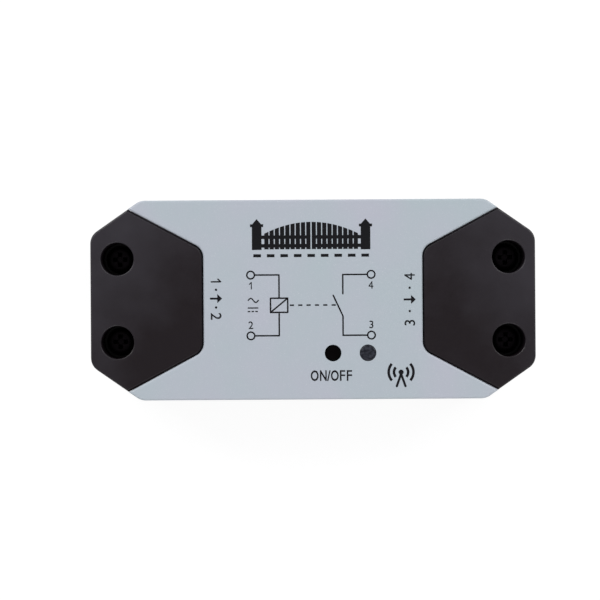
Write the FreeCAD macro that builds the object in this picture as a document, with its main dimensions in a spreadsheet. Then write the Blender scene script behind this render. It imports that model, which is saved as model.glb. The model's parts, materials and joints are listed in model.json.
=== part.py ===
"""In-line wireless gate relay module: casing, end covers, board, terminals, relay and radio.

Millimetres. X runs along the body from the input end to the output end, Y runs across it and
Z points up. The origin is the centre of the underside.
"""
import FreeCAD, Part
import os
import types
import Sketcher

# Driving dimensions
DRIVING = {
    # Casing
    "middle_length": 43.7,
    "body_width": 39.5,
    "body_height": 23.0,
    "corner_run": 9.9,
    "corner_drop": 6.9,
    "corner_round": 3.0,
    "wall": 1.8,
    "floor_thickness": 1.8,
    "roof_thickness": 1.8,
    "parting_height": 11.0,
    "top_edge_round": 0.4,
    "base_edge_round": 0.8,
    "parting_round": 0.25,
    "lip_depth": 1.6,
    "lip_fit": 0.15,
    # Seam between the top and each end cover
    "cover_length": 22.15,
    "seam_half_width": 10.0,
    "shoulder_run": 7.3,
    "seam_round": 2.6,
    "seam_gap": 0.2,
    "cover_step": 0.5,
    "curtain_gap": 0.4,
    # End cover screws
    "screw_end": 5.3,
    "screw_side": 8.25,
    "screw_shank": 3.0,
    "screw_length": 8.0,
    "screw_head": 5.6,
    "screw_head_height": 2.3,
    "screw_recess": 3.4,
    "screw_recess_width": 0.9,
    "screw_recess_depth": 1.3,
    "screw_clearance": 0.4,
    "thread_gap": 0.1,
    "boss_diameter": 6.4,
    "boss_drop": 1.0,
    "boss_gap": 0.2,
    "boss_hole_spare": 0.6,
    "well_diameter": 6.5,
    "well_wall": 1.05,
    "well_round": 0.25,
    "seat_rise": 0.6,
    "seat_thickness": 1.3,
    # Cable entries and the ribs that grip the cable
    "entry_width": 7.6,
    "entry_height": 6.4,
    "entry_round": 2.0,
    "rib_thickness": 1.0,
    "rib_half_width": 4.2,
    "rib_pitch": 2.5,
    "rib_setback": 3.3,
    "rib_drop": 0.1,
    # Fixing holes through the floor
    "fixing_end": 8.6,
    "fixing_side": 6.55,
    "fixing_diameter": 3.6,
    # Bare label recess underneath
    "label_length": 50.0,
    "label_width": 26.0,
    "label_depth": 0.25,
    # Snap hooks of the top
    "hook_place": 14.0,
    "hook_width": 5.0,
    "hook_thickness": 1.1,
    "hook_drop": 3.8,
    "hook_root": 3.0,
    "barb_height": 1.2,
    "barb_reach": 0.4,
    "hook_fit": 0.15,
    # Circuit board, its posts and screws
    "board_thickness": 1.6,
    "board_height": 4.0,
    "board_side_gap": 0.75,
    "board_margin": 0.4,
    "board_chamfer": 1.5,
    "post_diameter": 4.4,
    "post_setback": 2.9,
    "post_gap": 0.6,
    "board_screw_shank": 2.0,
    "board_screw_head": 4.0,
    "board_screw_head_height": 1.5,
    "board_screw_reach": 1.8,
    "board_recess": 2.4,
    "board_recess_width": 0.6,
    "board_recess_depth": 0.9,
    "board_hole_clearance": 0.3,
    "peg_rise": 0.8,
    "lead_diameter": 1.0,
    "lead_reach": 1.8,
    "lead_hole_gap": 0.3,
    "solder_diameter": 2.2,
    "solder_height": 0.7,
    "solder_tip": 1.4,
    "solder_gap": 0.02,
    # Push button
    "button_x": 3.9,
    "button_edge": 9.15,
    "button_diameter": 3.0,
    "button_gap": 0.15,
    "button_recess": 0.3,
    "button_flange": 4.6,
    "button_flange_height": 0.8,
    "button_foot": 2.4,
    "button_travel": 0.35,
    "guide_wall": 1.1,
    "guide_gap": 0.2,
    "switch_side": 6.0,
    "switch_height": 3.5,
    "switch_lid": 0.5,
    "switch_rim": 0.7,
    "switch_floor": 1.4,
    "plunger_diameter": 3.4,
    "plunger_rise": 1.5,
    "plunger_flange_height": 1.0,
    "contact_gap": 0.02,
    # Status lamp and its light pipe
    "lamp_x": 10.8,
    "lamp_length": 2.0,
    "lamp_width": 1.25,
    "lamp_height": 0.8,
    "pipe_diameter": 3.2,
    "pipe_gap": 0.05,
    "pipe_flange": 4.4,
    "pipe_flange_height": 0.8,
    "pipe_stem": 2.6,
    "pipe_foot_gap": 0.6,
    # Screw terminals
    "block_gap": 0.35,
    "block_depth": 9.6,
    "block_half_width": 8.1,
    "block_roof_gap": 2.1,
    "mouth_lip": 0.7,
    "block_front_wall": 1.2,
    "block_pocket_depth": 6.0,
    "block_pocket_width": 6.3,
    "block_pocket_floor": 1.2,
    "pole_pitch": 7.62,
    "window_width": 4.6,
    "window_sill": 2.0,
    "window_height": 3.8,
    "cage_gap": 0.25,
    "cage_width": 5.5,
    "cage_side": 0.7,
    "cage_bottom": 1.6,
    "cage_bottom_plate": 0.9,
    "cage_top_plate": 1.5,
    "cage_lift": 2.0,
    "bar_drop": 0.9,
    "bar_thickness": 0.8,
    "bar_width": 2.8,
    "bar_setback": 0.6,
    "leg_thickness": 0.8,
    "leg_setback": 0.8,
    "leg_gap": 0.1,
    "clamp_screw_diameter": 3.0,
    "clamp_screw_tip_gap": 0.05,
    "clamp_head_diameter": 4.6,
    "clamp_head_height": 1.7,
    "clamp_head_gap": 0.15,
    "clamp_slot_width": 0.8,
    "clamp_slot_depth": 0.9,
    "mouth_diameter": 3.9,
    # Relay
    "relay_end_gap": 0.35,
    "relay_edge": 3.95,
    "relay_length": 19.0,
    "relay_width": 15.5,
    "relay_roof_gap": 0.3,
    "relay_wall": 0.8,
    "relay_fit": 0.1,
    "relay_base_height": 2.0,
    "coil_offset": 2.0,
    "yoke_thickness": 1.0,
    "yoke_width": 8.0,
    "bobbin_flange": 0.8,
    "bobbin_length": 10.4,
    "bobbin_width": 10.8,
    "contact_headroom": 0.2,
    "bobbin_tube": 4.6,
    "winding_diameter": 9.8,
    "winding_gap": 0.1,
    "core_diameter": 3.0,
    "core_gap": 0.1,
    "pole_face": 5.6,
    "pole_face_height": 0.8,
    "armature_gap": 0.5,
    "armature_thickness": 1.0,
    "armature_reach": 3.4,
    "hinge_gap": 0.1,
    "spring_thickness": 0.3,
    "spring_width": 3.0,
    "contact_reach": 14.0,
    "contact_diameter": 2.2,
    "moving_contact_drop": 0.7,
    "contact_opening": 0.75,
    "fixed_contact_height": 0.7,
    "contact_post_width": 2.6,
    "coil_pin_setback": 1.6,
    # Radio module
    "radio_gap": 0.5,
    "radio_length": 18.0,
    "radio_width": 15.0,
    "radio_board": 0.8,
    "shield_length": 12.4,
    "shield_width": 12.0,
    "shield_height": 2.2,
    "shield_inset": 1.2,
    # Capacitors, inductor and the other pieces of the supply
    "supply_cap_end": 5.35,
    "supply_cap_edge": 10.7,
    "supply_cap_diameter": 8.0,
    "supply_cap_height": 12.0,
    "supply_cap_pitch": 3.5,
    "filter_cap_diameter": 6.3,
    "filter_cap_height": 11.0,
    "filter_cap_pitch": 2.5,
    "cap_groove_height": 2.2,
    "cap_groove_depth": 0.3,
    "cap_shoulder": 0.5,
    "cap_lead_diameter": 0.6,
    "inductor_edge": 5.0,
    "inductor_side": 6.6,
    "inductor_height": 4.5,
    "inductor_flange": 0.9,
    "inductor_waist": 5.4,
    "chip_lead_width": 0.45,
    "chip_lead_thickness": 0.25,
    "chip_lead_reach": 1.0,
    "chip_stand": 0.1,
    # Moulded pieces on the board: distance of the centre inwards from the screen at its end of the middle,
    # distance of the centre from the board's long edge, size
    "bridge_end": 5.45,
    "bridge_edge": 3.0,
    "bridge_length": 7.6,
    "bridge_width": 3.0,
    "bridge_height": 2.0,
    "converter_end": 3.85,
    "converter_edge": 7.4,
    "converter_length": 4.9,
    "converter_width": 3.9,
    "converter_height": 1.5,
    "regulator_end": 4.45,
    "regulator_edge": 2.3,
    "regulator_length": 6.0,
    "regulator_width": 2.2,
    "regulator_height": 1.5,
    "transistor_length": 2.9,
    "transistor_width": 1.3,
    "transistor_height": 1.0,
    "fuse_end": -1.35,
    "fuse_edge": 1.8,
    "fuse_length": 4.4,
    "fuse_width": 1.6,
    "fuse_height": 1.4,
    "diode_end": 5.35,
    "diode_edge": 1.9,
    "diode_length": 4.2,
    "diode_width": 2.4,
    "diode_height": 2.0,
    "suppressor_end": 0.65,
    "suppressor_edge": 1.9,
    "suppressor_length": 4.4,
    "suppressor_width": 2.4,
    "suppressor_height": 2.2,
    # Rows of small chips
    "small_pitch": 3.1,
    "small_length": 2.0,
    "small_width": 1.2,
    "resistor_height": 0.55,
    "ceramic_height": 1.1,
    "row_edge": 1.8,
    "back_row_end": 8.85,
    "front_row_x": 2.0,
    "middle_row_x": 3.4,
}

# How far a cutting shape passes beyond what it cuts
OVERRUN = 1.0


class Size:
    """A length in millimetres with the expression that keeps it bound to the sheet."""

    def __init__(self, value, text):
        self.value = value
        self.text = text

    def __add__(self, other):
        other = as_size(other)
        return Size(self.value + other.value, f"({self.text} + {other.text})")

    def __radd__(self, other):
        return as_size(other) + self

    def __sub__(self, other):
        other = as_size(other)
        return Size(self.value - other.value, f"({self.text} - {other.text})")

    def __rsub__(self, other):
        return as_size(other) - self

    def __mul__(self, other):
        other = as_size(other)
        return Size(self.value * other.value, f"({self.text} * {other.text})")

    def __rmul__(self, other):
        return as_size(other) * self

    def __truediv__(self, other):
        other = as_size(other)
        return Size(self.value / other.value, f"({self.text} / {other.text})")

    def __neg__(self):
        return Size(-self.value, f"(0 - {self.text})")


def as_size(number):
    """A plain number as a size; a size stays as it is."""
    if isinstance(number, Size):
        return number
    return Size(float(number), f"({float(number)})")


# Document and sheet
doc = FreeCAD.newDocument("GateRelayModule")
sheet = doc.addObject("Spreadsheet::Sheet", "Sizes")
for row, (alias, number) in enumerate(DRIVING.items(), start=1):
    sheet.set(f"A{row}", alias)
    sheet.set(f"B{row}", str(number))
    sheet.setAlias(f"B{row}", alias)
doc.recompute()
size = types.SimpleNamespace(**{alias: Size(number, f"Sizes.{alias}") for alias, number in DRIVING.items()})
sub_parts = []


# Places worked out from the driving dimensions
seam_x = size.middle_length / 2
half_length = seam_x + size.cover_length
half_width = size.body_width / 2
corner_x = half_length - size.corner_run
corner_y = half_width - size.corner_drop
roof_under = size.body_height - size.roof_thickness
cover_top = size.body_height - size.cover_step
cover_under = cover_top - size.roof_thickness
lip_bottom = size.parting_height - size.lip_depth
screen_x = seam_x - size.seam_gap - size.wall
shoulder_x = half_length - size.shoulder_run
shoulder_y = half_width - (size.corner_run - size.shoulder_run) * size.corner_drop / size.corner_run
seam_slope = (shoulder_y - size.seam_half_width) / (shoulder_x - seam_x)
board_top = size.board_height + size.board_thickness
lead_tip = size.board_height - size.lead_reach
curtain_bottom = board_top + size.curtain_gap

screw_x = half_length - size.screw_end
screw_seat = size.parting_height + size.seat_rise
screw_tip = screw_seat - size.screw_length
boss_top = size.parting_height - size.boss_drop
boss_hole = size.screw_shank + size.thread_gap
fixing_x = half_length - size.fixing_end
fixing_y = half_width - size.fixing_side

block_rear = seam_x + size.block_gap
block_front = block_rear + size.block_depth
pocket_front = block_front - size.block_front_wall
pocket_rear = pocket_front - size.block_pocket_depth
pole_y = size.pole_pitch / 2
cage_x = (pocket_front - size.cage_gap, pocket_rear + size.cage_gap)
screw_axis_x = (cage_x[0] + cage_x[1]) / 2
leg_x = (block_rear + size.leg_setback, block_rear + size.leg_setback + size.leg_thickness)
leg_centre = (leg_x[0] + leg_x[1]) / 2
block_top = cover_under - size.block_roof_gap
head_room = block_top - size.mouth_lip
clamp_top = head_room - size.thread_gap
clamp_head = clamp_top - size.clamp_head_height
cage_top = clamp_head - size.thread_gap - size.cage_lift
cage_ceiling = cage_top - size.cage_top_plate
cage_floor = board_top + size.cage_bottom
cage_inside = cage_floor + size.cage_bottom_plate
bar_z = (cage_ceiling - size.bar_drop - size.bar_thickness, cage_ceiling - size.bar_drop)
clamp_tip = bar_z[1] + size.clamp_screw_tip_gap

board_half_length = block_front + size.board_margin
board_half_width = half_width - size.wall - size.board_side_gap
post_x = block_front - size.post_setback
post_y = size.block_half_width + size.post_gap + size.post_diameter / 2

button_y = size.button_edge - half_width
button_top = size.body_height - size.button_recess
guide_hole = size.button_diameter + 2 * size.button_gap
plunger_top = board_top + size.switch_height + size.plunger_rise
button_foot = plunger_top + size.contact_gap
button_flange = button_foot + size.button_travel + size.button_flange_height
guide_bottom = button_flange + size.button_flange_height + size.guide_gap

relay_x = screen_x - size.relay_end_gap - size.relay_length / 2
relay_y = board_half_width - size.relay_edge - size.relay_width / 2
relay_front = relay_y - size.relay_width / 2
relay_top = roof_under - size.relay_roof_gap
coil_x = relay_x + size.coil_offset
relay_inside = size.relay_length / 2 - size.relay_wall
yoke_x = (relay_x + relay_inside - size.relay_fit - size.yoke_thickness,
          relay_x + relay_inside - size.relay_fit)
hinge_x = (yoke_x[0] + yoke_x[1]) / 2
relay_floor = board_top + size.relay_base_height
bobbin_bottom = relay_floor + size.yoke_thickness
contact_top = relay_top - size.relay_wall - size.contact_headroom
armature_top = contact_top - 2 * size.spring_thickness
armature_bottom = armature_top - size.armature_thickness
pole_top = armature_bottom - size.armature_gap
bobbin_top = pole_top - size.pole_face_height
contact_x = hinge_x - size.contact_reach
moving_contact = armature_top - size.moving_contact_drop
fixed_contact = moving_contact - size.contact_opening

# Pieces of the supply and the radio, between the relay and the screen at the input end
supply_cap = (size.supply_cap_end - screen_x, board_half_width - size.supply_cap_edge)
between_x = (supply_cap[0] + size.supply_cap_diameter / 2 + relay_x - size.relay_length / 2) / 2
inductor_y = board_half_width - size.inductor_edge
radio_x = (size.radio_gap - screen_x, size.radio_gap - screen_x + size.radio_length)
radio_y = (size.radio_gap - board_half_width, size.radio_gap - board_half_width + size.radio_width)
filter_cap = (between_x, (inductor_y - size.inductor_side / 2 + radio_y[1]) / 2)

# Between the front of the relay and the lamp
transistor = (size.lamp_x, (relay_front + button_y + size.lamp_width / 2) / 2)

# Places of the leads that pass through the board
relay_pins = {
    "coil": [
        (relay_x + size.coil_pin_setback, relay_y - size.yoke_width / 2 - size.coil_pin_setback / 2),
        (relay_x + size.coil_pin_setback, relay_y + size.yoke_width / 2 + size.coil_pin_setback / 2),
    ],
    "common": [(hinge_x, relay_y)],
    "contact": [(contact_x, relay_y)],
}
cap_leads = [
    (supply_cap[0], supply_cap[1] - size.supply_cap_pitch / 2),
    (supply_cap[0], supply_cap[1] + size.supply_cap_pitch / 2),
    (filter_cap[0], filter_cap[1] - size.filter_cap_pitch / 2),
    (filter_cap[0], filter_cap[1] + size.filter_cap_pitch / 2),
]
terminal_leads = [(end * leg_centre, side * pole_y) for end in (1, -1) for side in (1, -1)]
all_leads = terminal_leads + cap_leads + [place for places in relay_pins.values() for place in places]


# Shapes
def place(item, x, y, z):
    """Bind the origin of an object to three sizes."""
    for axis, distance in zip("xyz", (x, y, z)):
        item.setExpression(f"Placement.Base.{axis}", as_size(distance).text)


def about(centre, width):
    """The two ends of a width about its centre."""
    return (centre - width / 2, centre + width / 2)


def block(name, x, y, z):
    """A box between two limits along each axis."""
    item = doc.addObject("Part::Box", name)
    for side, (first, last) in zip(("Length", "Width", "Height"), (x, y, z)):
        item.setExpression(side, (as_size(last) - first).text)
    place(item, x[0], y[0], z[0])
    return item


def rod(name, x, y, z, diameter):
    """An upright cylinder between two heights."""
    item = doc.addObject("Part::Cylinder", name)
    item.setExpression("Radius", (diameter / 2).text)
    item.setExpression("Height", (as_size(z[1]) - z[0]).text)
    place(item, x, y, z[0])
    return item


def join(name, *items):
    """One solid from pieces that touch or overlap."""
    item = doc.addObject("Part::MultiFuse", name)
    item.Shapes = list(items)
    item.Refine = True
    return item


def cut(name, base, *tools):
    """A shape with every tool's space taken away."""
    item = doc.addObject("Part::Cut", name)
    item.Base = base
    item.Tool = tools[0] if len(tools) == 1 else join(f"{name}_tools", *tools)
    item.Refine = True
    return item


def common(name, first, second):
    """The space that two shapes share."""
    item = doc.addObject("Part::Common", name)
    item.Base = first
    item.Tool = second
    return item


def group(name, *items):
    """Separate solids kept together as one object."""
    item = doc.addObject("Part::Compound", name)
    item.Links = list(items)
    return item


def half_turn(item):
    """Turn a shape from the output end about the upright axis to the input end."""
    item.Placement = FreeCAD.Placement(FreeCAD.Vector(), FreeCAD.Rotation(FreeCAD.Vector(0, 0, 1), 180))
    return item


def at_end(end, item):
    """A shape left at the output end or turned to the input end."""
    return half_turn(item) if end == "input" else item


def draw(sketch, corners):
    """Draw a closed outline whose corners are bound to sizes."""
    corners = [(as_size(x), as_size(y)) for x, y in corners]
    count = len(corners)
    points = [FreeCAD.Vector(x.value, y.value, 0) for x, y in corners]
    for number in range(count):
        sketch.addGeometry(Part.LineSegment(points[number], points[(number + 1) % count]), False)
    for number in range(count):
        sketch.addConstraint(Sketcher.Constraint("Coincident", number, 2, (number + 1) % count, 1))
    for number, corner in enumerate(corners):
        for kind, axis, distance in zip(("DistanceX", "DistanceY"), (-2, -1), corner):
            if distance.value == 0:
                sketch.addConstraint(Sketcher.Constraint("PointOnObject", number, 1, axis))
                continue
            bound = sketch.addConstraint(Sketcher.Constraint(kind, -1, 1, number, 1, distance.value))
            sketch.setExpression(f"Constraints[{bound}]", distance.text)
    return sketch


def polygon(name, corners):
    """A closed outline on the ground plane."""
    return draw(doc.addObject("Sketcher::SketchObject", name), corners)


def offset(name, source, distance):
    """An outline moved outwards by a distance, with rounded corners."""
    item = doc.addObject("Part::Offset2D", name)
    item.Source = source
    item.setExpression("Value", distance.text)
    return item


def prism(name, outline, z):
    """An outline of the ground plane filled between two heights."""
    item = doc.addObject("Part::Extrusion", name)
    item.Base = outline
    item.DirMode = "Custom"
    item.Dir = FreeCAD.Vector(0, 0, 1)
    item.Solid = True
    item.setExpression("LengthFwd", as_size(z[1]).text)
    item.setExpression("LengthRev", (-as_size(z[0])).text)
    return item


def fillet(name, item, radius, chosen):
    """Round the edges of a shape that a test chooses."""
    doc.recompute()
    rounded = doc.addObject("Part::Fillet", name)
    rounded.Base = item
    edges = enumerate(item.Shape.Edges, start=1)
    rounded.Edges = [(number, radius.value, radius.value) for number, edge in edges if chosen(edge)]
    return rounded


def at_height(height):
    """A test for edges that lie at one height."""
    return lambda edge: all(abs(vertex.Z - height.value) < 1e-6 for vertex in edge.Vertexes)


def circle_at(height, diameter):
    """A test for whole circles of one diameter at one height."""
    def test(edge):
        if not at_height(height)(edge) or not edge.isClosed() or edge.Curve.TypeId != "Part::GeomCircle":
            return False
        return abs(edge.Curve.Radius - diameter.value / 2) < 1e-6
    return test


def along(axis):
    """A test for straight edges that run along one axis of the part."""
    direction = {"x": (1, 0, 0), "y": (0, 1, 0), "z": (0, 0, 1)}[axis]

    def test(edge):
        if len(edge.Vertexes) != 2 or edge.Curve.TypeId != "Part::GeomLine":
            return False
        run = edge.Vertexes[1].Point - edge.Vertexes[0].Point
        return run.cross(FreeCAD.Vector(*direction)).Length < 1e-6
    return test


def plane_sketch(body, role, name):
    """A sketch on one of a body's own origin planes."""
    sketch = body.newObject("Sketcher::SketchObject", name)
    plane = [feature for feature in body.Origin.OriginFeatures if feature.Role == role][0]
    sketch.AttachmentSupport = [(plane, "")]
    sketch.MapMode = "FlatFace"
    return sketch


def turning(name, x, y, profile):
    """A body turned about an upright axis from a profile of radii and heights."""
    body = doc.addObject("PartDesign::Body", name)
    sketch = draw(plane_sketch(body, "XZ_Plane", f"{name}_profile"), profile)
    turned = body.newObject("PartDesign::Revolution", f"{name}_turned")
    turned.Profile = sketch
    turned.ReferenceAxis = (sketch, ["V_Axis"])
    turned.Angle = 360
    place(body, x, y, 0)
    return body


def plate(name, x, y, z):
    """A body padded from a rectangle between two limits along each axis."""
    body = doc.addObject("PartDesign::Body", name)
    length = as_size(x[1]) - x[0]
    width = as_size(y[1]) - y[0]
    corners = [(0, 0), (length, 0), (length, width), (0, width)]
    sketch = draw(plane_sketch(body, "XY_Plane", f"{name}_outline"), corners)
    pad = body.newObject("PartDesign::Pad", f"{name}_pad")
    pad.Profile = sketch
    pad.setExpression("Length", (as_size(z[1]) - z[0]).text)
    place(body, x[0], y[0], z[0])
    return body


def stepped(*steps):
    """A turned profile from stacked steps, each a diameter and the height where it ends."""
    corners = [(0, steps[0])]
    low = steps[0]
    for diameter, high in steps[1:]:
        corners += [(diameter / 2, low), (diameter / 2, high)]
        low = high
    return corners + [(0, low)]


def keep(name, item):
    """Name a finished sub-part."""
    item.Label = name
    sub_parts.append(item)


# Outlines of the casing and of the end covers' side of the seam
body_sketch = polygon("body_outline", [
    (half_length, -corner_y), (half_length, corner_y), (corner_x, half_width), (-corner_x, half_width),
    (-half_length, corner_y), (-half_length, -corner_y), (-corner_x, -half_width), (corner_x, -half_width),
])
far_x = half_length + size.cover_length
far_y = size.seam_half_width + seam_slope * (far_x - seam_x)
seam_sketch = polygon("seam_outline", [
    (seam_x, -size.seam_half_width), (far_x, -far_y), (far_x, far_y), (seam_x, size.seam_half_width),
])
body_core = offset("body_core", body_sketch, -size.corner_round)
seam_core = offset("seam_core", seam_sketch, -size.seam_round)


def body_prism(name, inset, z):
    """The casing's plan, moved inwards all round, between two heights."""
    return prism(name, offset(f"{name}_outline", body_core, size.corner_round - inset), z)


def seam_prism(name, grow, z):
    """The plan of the output cover's side of the seam, grown outwards, between two heights."""
    return prism(name, offset(f"{name}_outline", seam_core, size.seam_round + grow), z)


def both_seams(name, grow, z):
    """The plans of both covers' sides of the seam, grown outwards."""
    output = seam_prism(f"{name}_output", grow, z)
    turned = group(f"{name}_input", seam_prism(f"{name}_input_side", grow, z))
    return join(name, output, half_turn(turned))


def cable_entry(name):
    """The rounded space of the cable entry through an end wall at the parting line."""
    space = block(
        f"{name}_box",
        (half_length - size.wall - OVERRUN, half_length + OVERRUN),
        about(as_size(0), size.entry_width),
        about(size.parting_height, size.entry_height),
    )
    return fillet(name, space, size.entry_round, along("x"))


def both_ends(name, make):
    """A shape made at the output end and again, turned, at the input end."""
    output = make(f"{name}_output")
    turned = group(f"{name}_input", make(f"{name}_input_side"))
    return join(name, output, half_turn(turned))


# Casing
def base_shell():
    """The dark lower tray with its screw bosses, board posts, ribs and fixing holes."""
    floor = size.floor_thickness
    height = size.parting_height
    plan = body_prism("base_plan", as_size(0), (0, height))
    block_round = fillet("base_block", plan, size.base_edge_round, at_height(as_size(0)))
    solid = fillet("base_rim", block_round, size.parting_round, at_height(height))
    cavity = body_prism("base_cavity", size.wall, (floor, height + OVERRUN))
    rebate = body_prism("base_rebate", size.wall / 2, (lip_bottom, height + OVERRUN))
    tray = cut("base_tray", solid, cavity, rebate)
    raised = [tray]
    holes = []
    for end in (1, -1):
        for side in (1, -1):
            x = end * screw_x
            y = side * size.screw_side
            raised.append(rod("screw_boss", x, y, (floor / 2, boss_top), size.boss_diameter))
            holes.append(rod("screw_pilot", x, y, (screw_tip - size.boss_hole_spare, height), boss_hole))
            x = end * post_x
            y = side * post_y
            raised.append(rod("board_post", x, y, (floor / 2, size.board_height), size.post_diameter))
            if end == side:
                tip = size.board_height - size.board_screw_reach
                pilot = size.board_screw_shank + size.thread_gap
                holes.append(rod("board_pilot", x, y, (tip, size.board_height + OVERRUN), pilot))
            else:
                peg_top = board_top + size.peg_rise
                raised.append(rod("board_peg", x, y, (floor, peg_top), size.board_screw_shank))
        for step in (0, 1):
            centre = end * (half_length - size.wall - size.rib_setback + size.rib_thickness / 2
                            - step * size.rib_pitch)
            low = about(centre, size.rib_thickness)
            top = size.parting_height - size.entry_height / 2 - size.rib_drop
            across = about(as_size(0), 2 * size.rib_half_width)
            raised.append(block("cable_rib", low, across, (floor / 2, top)))
        holes.append(rod("fixing_hole", end * fixing_x, -end * fixing_y, (-OVERRUN, floor + OVERRUN),
                         size.fixing_diameter))
        for side in (1, -1):
            inner = half_width - size.wall
            recess_y = (side * (inner - OVERRUN), side * (inner + size.barb_reach + size.hook_fit))
            low = size.parting_height - size.hook_drop - size.hook_fit
            high = size.parting_height - size.hook_drop + size.barb_height + size.hook_fit
            recess_x = about(end * size.hook_place, size.hook_width + 4 * size.hook_fit)
            recess_y = recess_y if side == 1 else (recess_y[1], recess_y[0])
            holes.append(block("hook_recess", recess_x, recess_y, (low, high)))
    label = block("label_recess", about(as_size(0), size.label_length), about(as_size(0), size.label_width),
                  (-OVERRUN, size.label_depth))
    entries = both_ends("base_entry", cable_entry)
    keep("base_shell", cut("base_shell_cut", join("base_raised", *raised), label, entries, *holes))


def top_shell():
    """The silver top with end walls along the seam, snap hooks, a button guide and a lamp hole."""
    low = size.parting_height
    high = size.body_height
    gap = size.seam_gap
    plan = fillet("top_rim", body_prism("top_plan", as_size(0), (low, high)), size.parting_round,
                  at_height(low))
    blank = cut("top_blank", plan, both_seams("top_ends", gap, (low - OVERRUN, high + OVERRUN)))
    solid = fillet("top_block", blank, size.top_edge_round, at_height(high))
    room = cut("top_room", body_prism("top_cavity", size.wall, (low - OVERRUN, roof_under)),
               both_seams("top_room_ends", gap + size.wall, (low - 2 * OVERRUN, high)))
    shell = cut("top_walls", solid, room)
    lip_plan = cut("top_lip_plan",
                   body_prism("top_lip_outer", size.wall / 2 + size.lip_fit,
                              (lip_bottom + size.lip_fit, low + size.wall)),
                   body_prism("top_lip_inner", size.wall, (lip_bottom - OVERRUN, low + 2 * size.wall)))
    lip = cut("top_lip", lip_plan, both_seams("top_lip_ends", gap, (lip_bottom - OVERRUN, high)))
    curtain_z = (curtain_bottom, low + size.wall)
    screens = both_seams("curtain_outer", gap + size.wall, curtain_z)
    screen = cut("curtain_wall", screens, both_seams("curtain_inner", gap, (low - size.body_height, high)))
    curtain = common("curtain", screen, body_prism("curtain_plan", size.wall + size.lip_fit, curtain_z))
    pieces = [shell, lip, curtain]
    for end in (1, -1):
        for side in (1, -1):
            wall_face = half_width - size.wall
            across = about(end * size.hook_place, size.hook_width)
            foot = low - size.hook_drop
            leg_y = (wall_face - size.hook_fit - size.hook_thickness, wall_face - size.hook_fit)
            root_y = (leg_y[0], wall_face + size.wall / 2)
            barb_y = (leg_y[0], wall_face + size.barb_reach)
            for label, y, z in (("hook_leg", leg_y, (foot, low + size.hook_root)),
                                ("hook_root", root_y, (low, low + size.hook_root)),
                                ("hook_barb", barb_y, (foot, foot + size.barb_height))):
                pieces.append(block(label, across, y if side == 1 else (-y[1], -y[0]), z))
    guide = guide_hole + 2 * size.guide_wall
    guide_z = (guide_bottom, high - size.roof_thickness / 2)
    pieces.append(rod("button_guide", size.button_x, button_y, guide_z, guide))
    hole_z = (guide_bottom - OVERRUN, high + OVERRUN)
    button_hole = rod("button_hole", size.button_x, button_y, hole_z, guide_hole)
    lamp_hole = rod("lamp_hole", size.lamp_x, button_y, (roof_under - OVERRUN, high + OVERRUN),
                    size.pipe_diameter + 2 * size.pipe_gap)
    keep("top_shell", cut("top_shell_cut", join("top_raised", *pieces), button_hole, lamp_hole))


def end_cover(end):
    """A dark end cover with two screw wells, a lip and a rib over the cable."""
    low = size.parting_height
    span = (low - size.body_height, size.body_height + OVERRUN)
    plan = fillet(f"{end}_rim", body_prism(f"{end}_plan", as_size(0), (low, cover_top)),
                  size.parting_round, at_height(low))
    blank = common(f"{end}_blank", plan, seam_prism(f"{end}_seam", as_size(0), span))
    solid = fillet(f"{end}_block", blank, size.top_edge_round, at_height(cover_top))
    room = body_prism(f"{end}_room", size.wall, (low - OVERRUN, cover_under))
    shell = cut(f"{end}_walls", solid, room)
    lip_plan = cut(f"{end}_lip_plan",
                   body_prism(f"{end}_lip_outer", size.wall / 2 + size.lip_fit,
                              (lip_bottom + size.lip_fit, low + size.wall)),
                   body_prism(f"{end}_lip_inner", size.wall, (lip_bottom - OVERRUN, low + 2 * size.wall)))
    lip = common(f"{end}_lip", lip_plan, seam_prism(f"{end}_lip_seam", as_size(0), span))
    pieces = [shell, lip]
    holes = [cable_entry(f"{end}_entry")]
    well = size.well_diameter + 2 * size.well_wall
    roof_middle = cover_top - size.roof_thickness / 2
    for side in (1, -1):
        y = side * size.screw_side
        pieces.append(rod("well_tube", screw_x, y, (screw_seat - size.seat_thickness, roof_middle), well))
        neck_z = (boss_top + size.boss_gap, screw_seat)
        pieces.append(rod("well_neck", screw_x, y, neck_z, size.boss_diameter))
        holes.append(rod("well", screw_x, y, (screw_seat, cover_top + OVERRUN), size.well_diameter))
        holes.append(rod("well_hole", screw_x, y, (lip_bottom, screw_seat + OVERRUN),
                         size.screw_shank + size.screw_clearance))
    rib_centre = half_length - size.wall - size.rib_setback + size.rib_thickness / 2 - size.rib_pitch / 2
    rib_bottom = size.parting_height + size.entry_height / 2
    pieces.append(block("cover_rib", about(rib_centre, size.rib_thickness),
                        about(as_size(0), 2 * size.rib_half_width), (rib_bottom, roof_middle)))
    sharp = cut(f"{end}_cover_cut", join(f"{end}_raised", *pieces), *holes)
    rounded = fillet(f"{end}_cover_round", sharp, size.well_round, circle_at(cover_top, size.well_diameter))
    keep(f"{end}_cover", at_end(end, rounded))


def cross_recess(name, x, y, top, recess, width, depth):
    """The cross-shaped space for a driver in a screw head."""
    z = (top - depth, top + OVERRUN)
    return join(name, block("recess_long", about(x, recess), about(y, width), z),
                block("recess_wide", about(x, width), about(y, recess), z))


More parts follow.
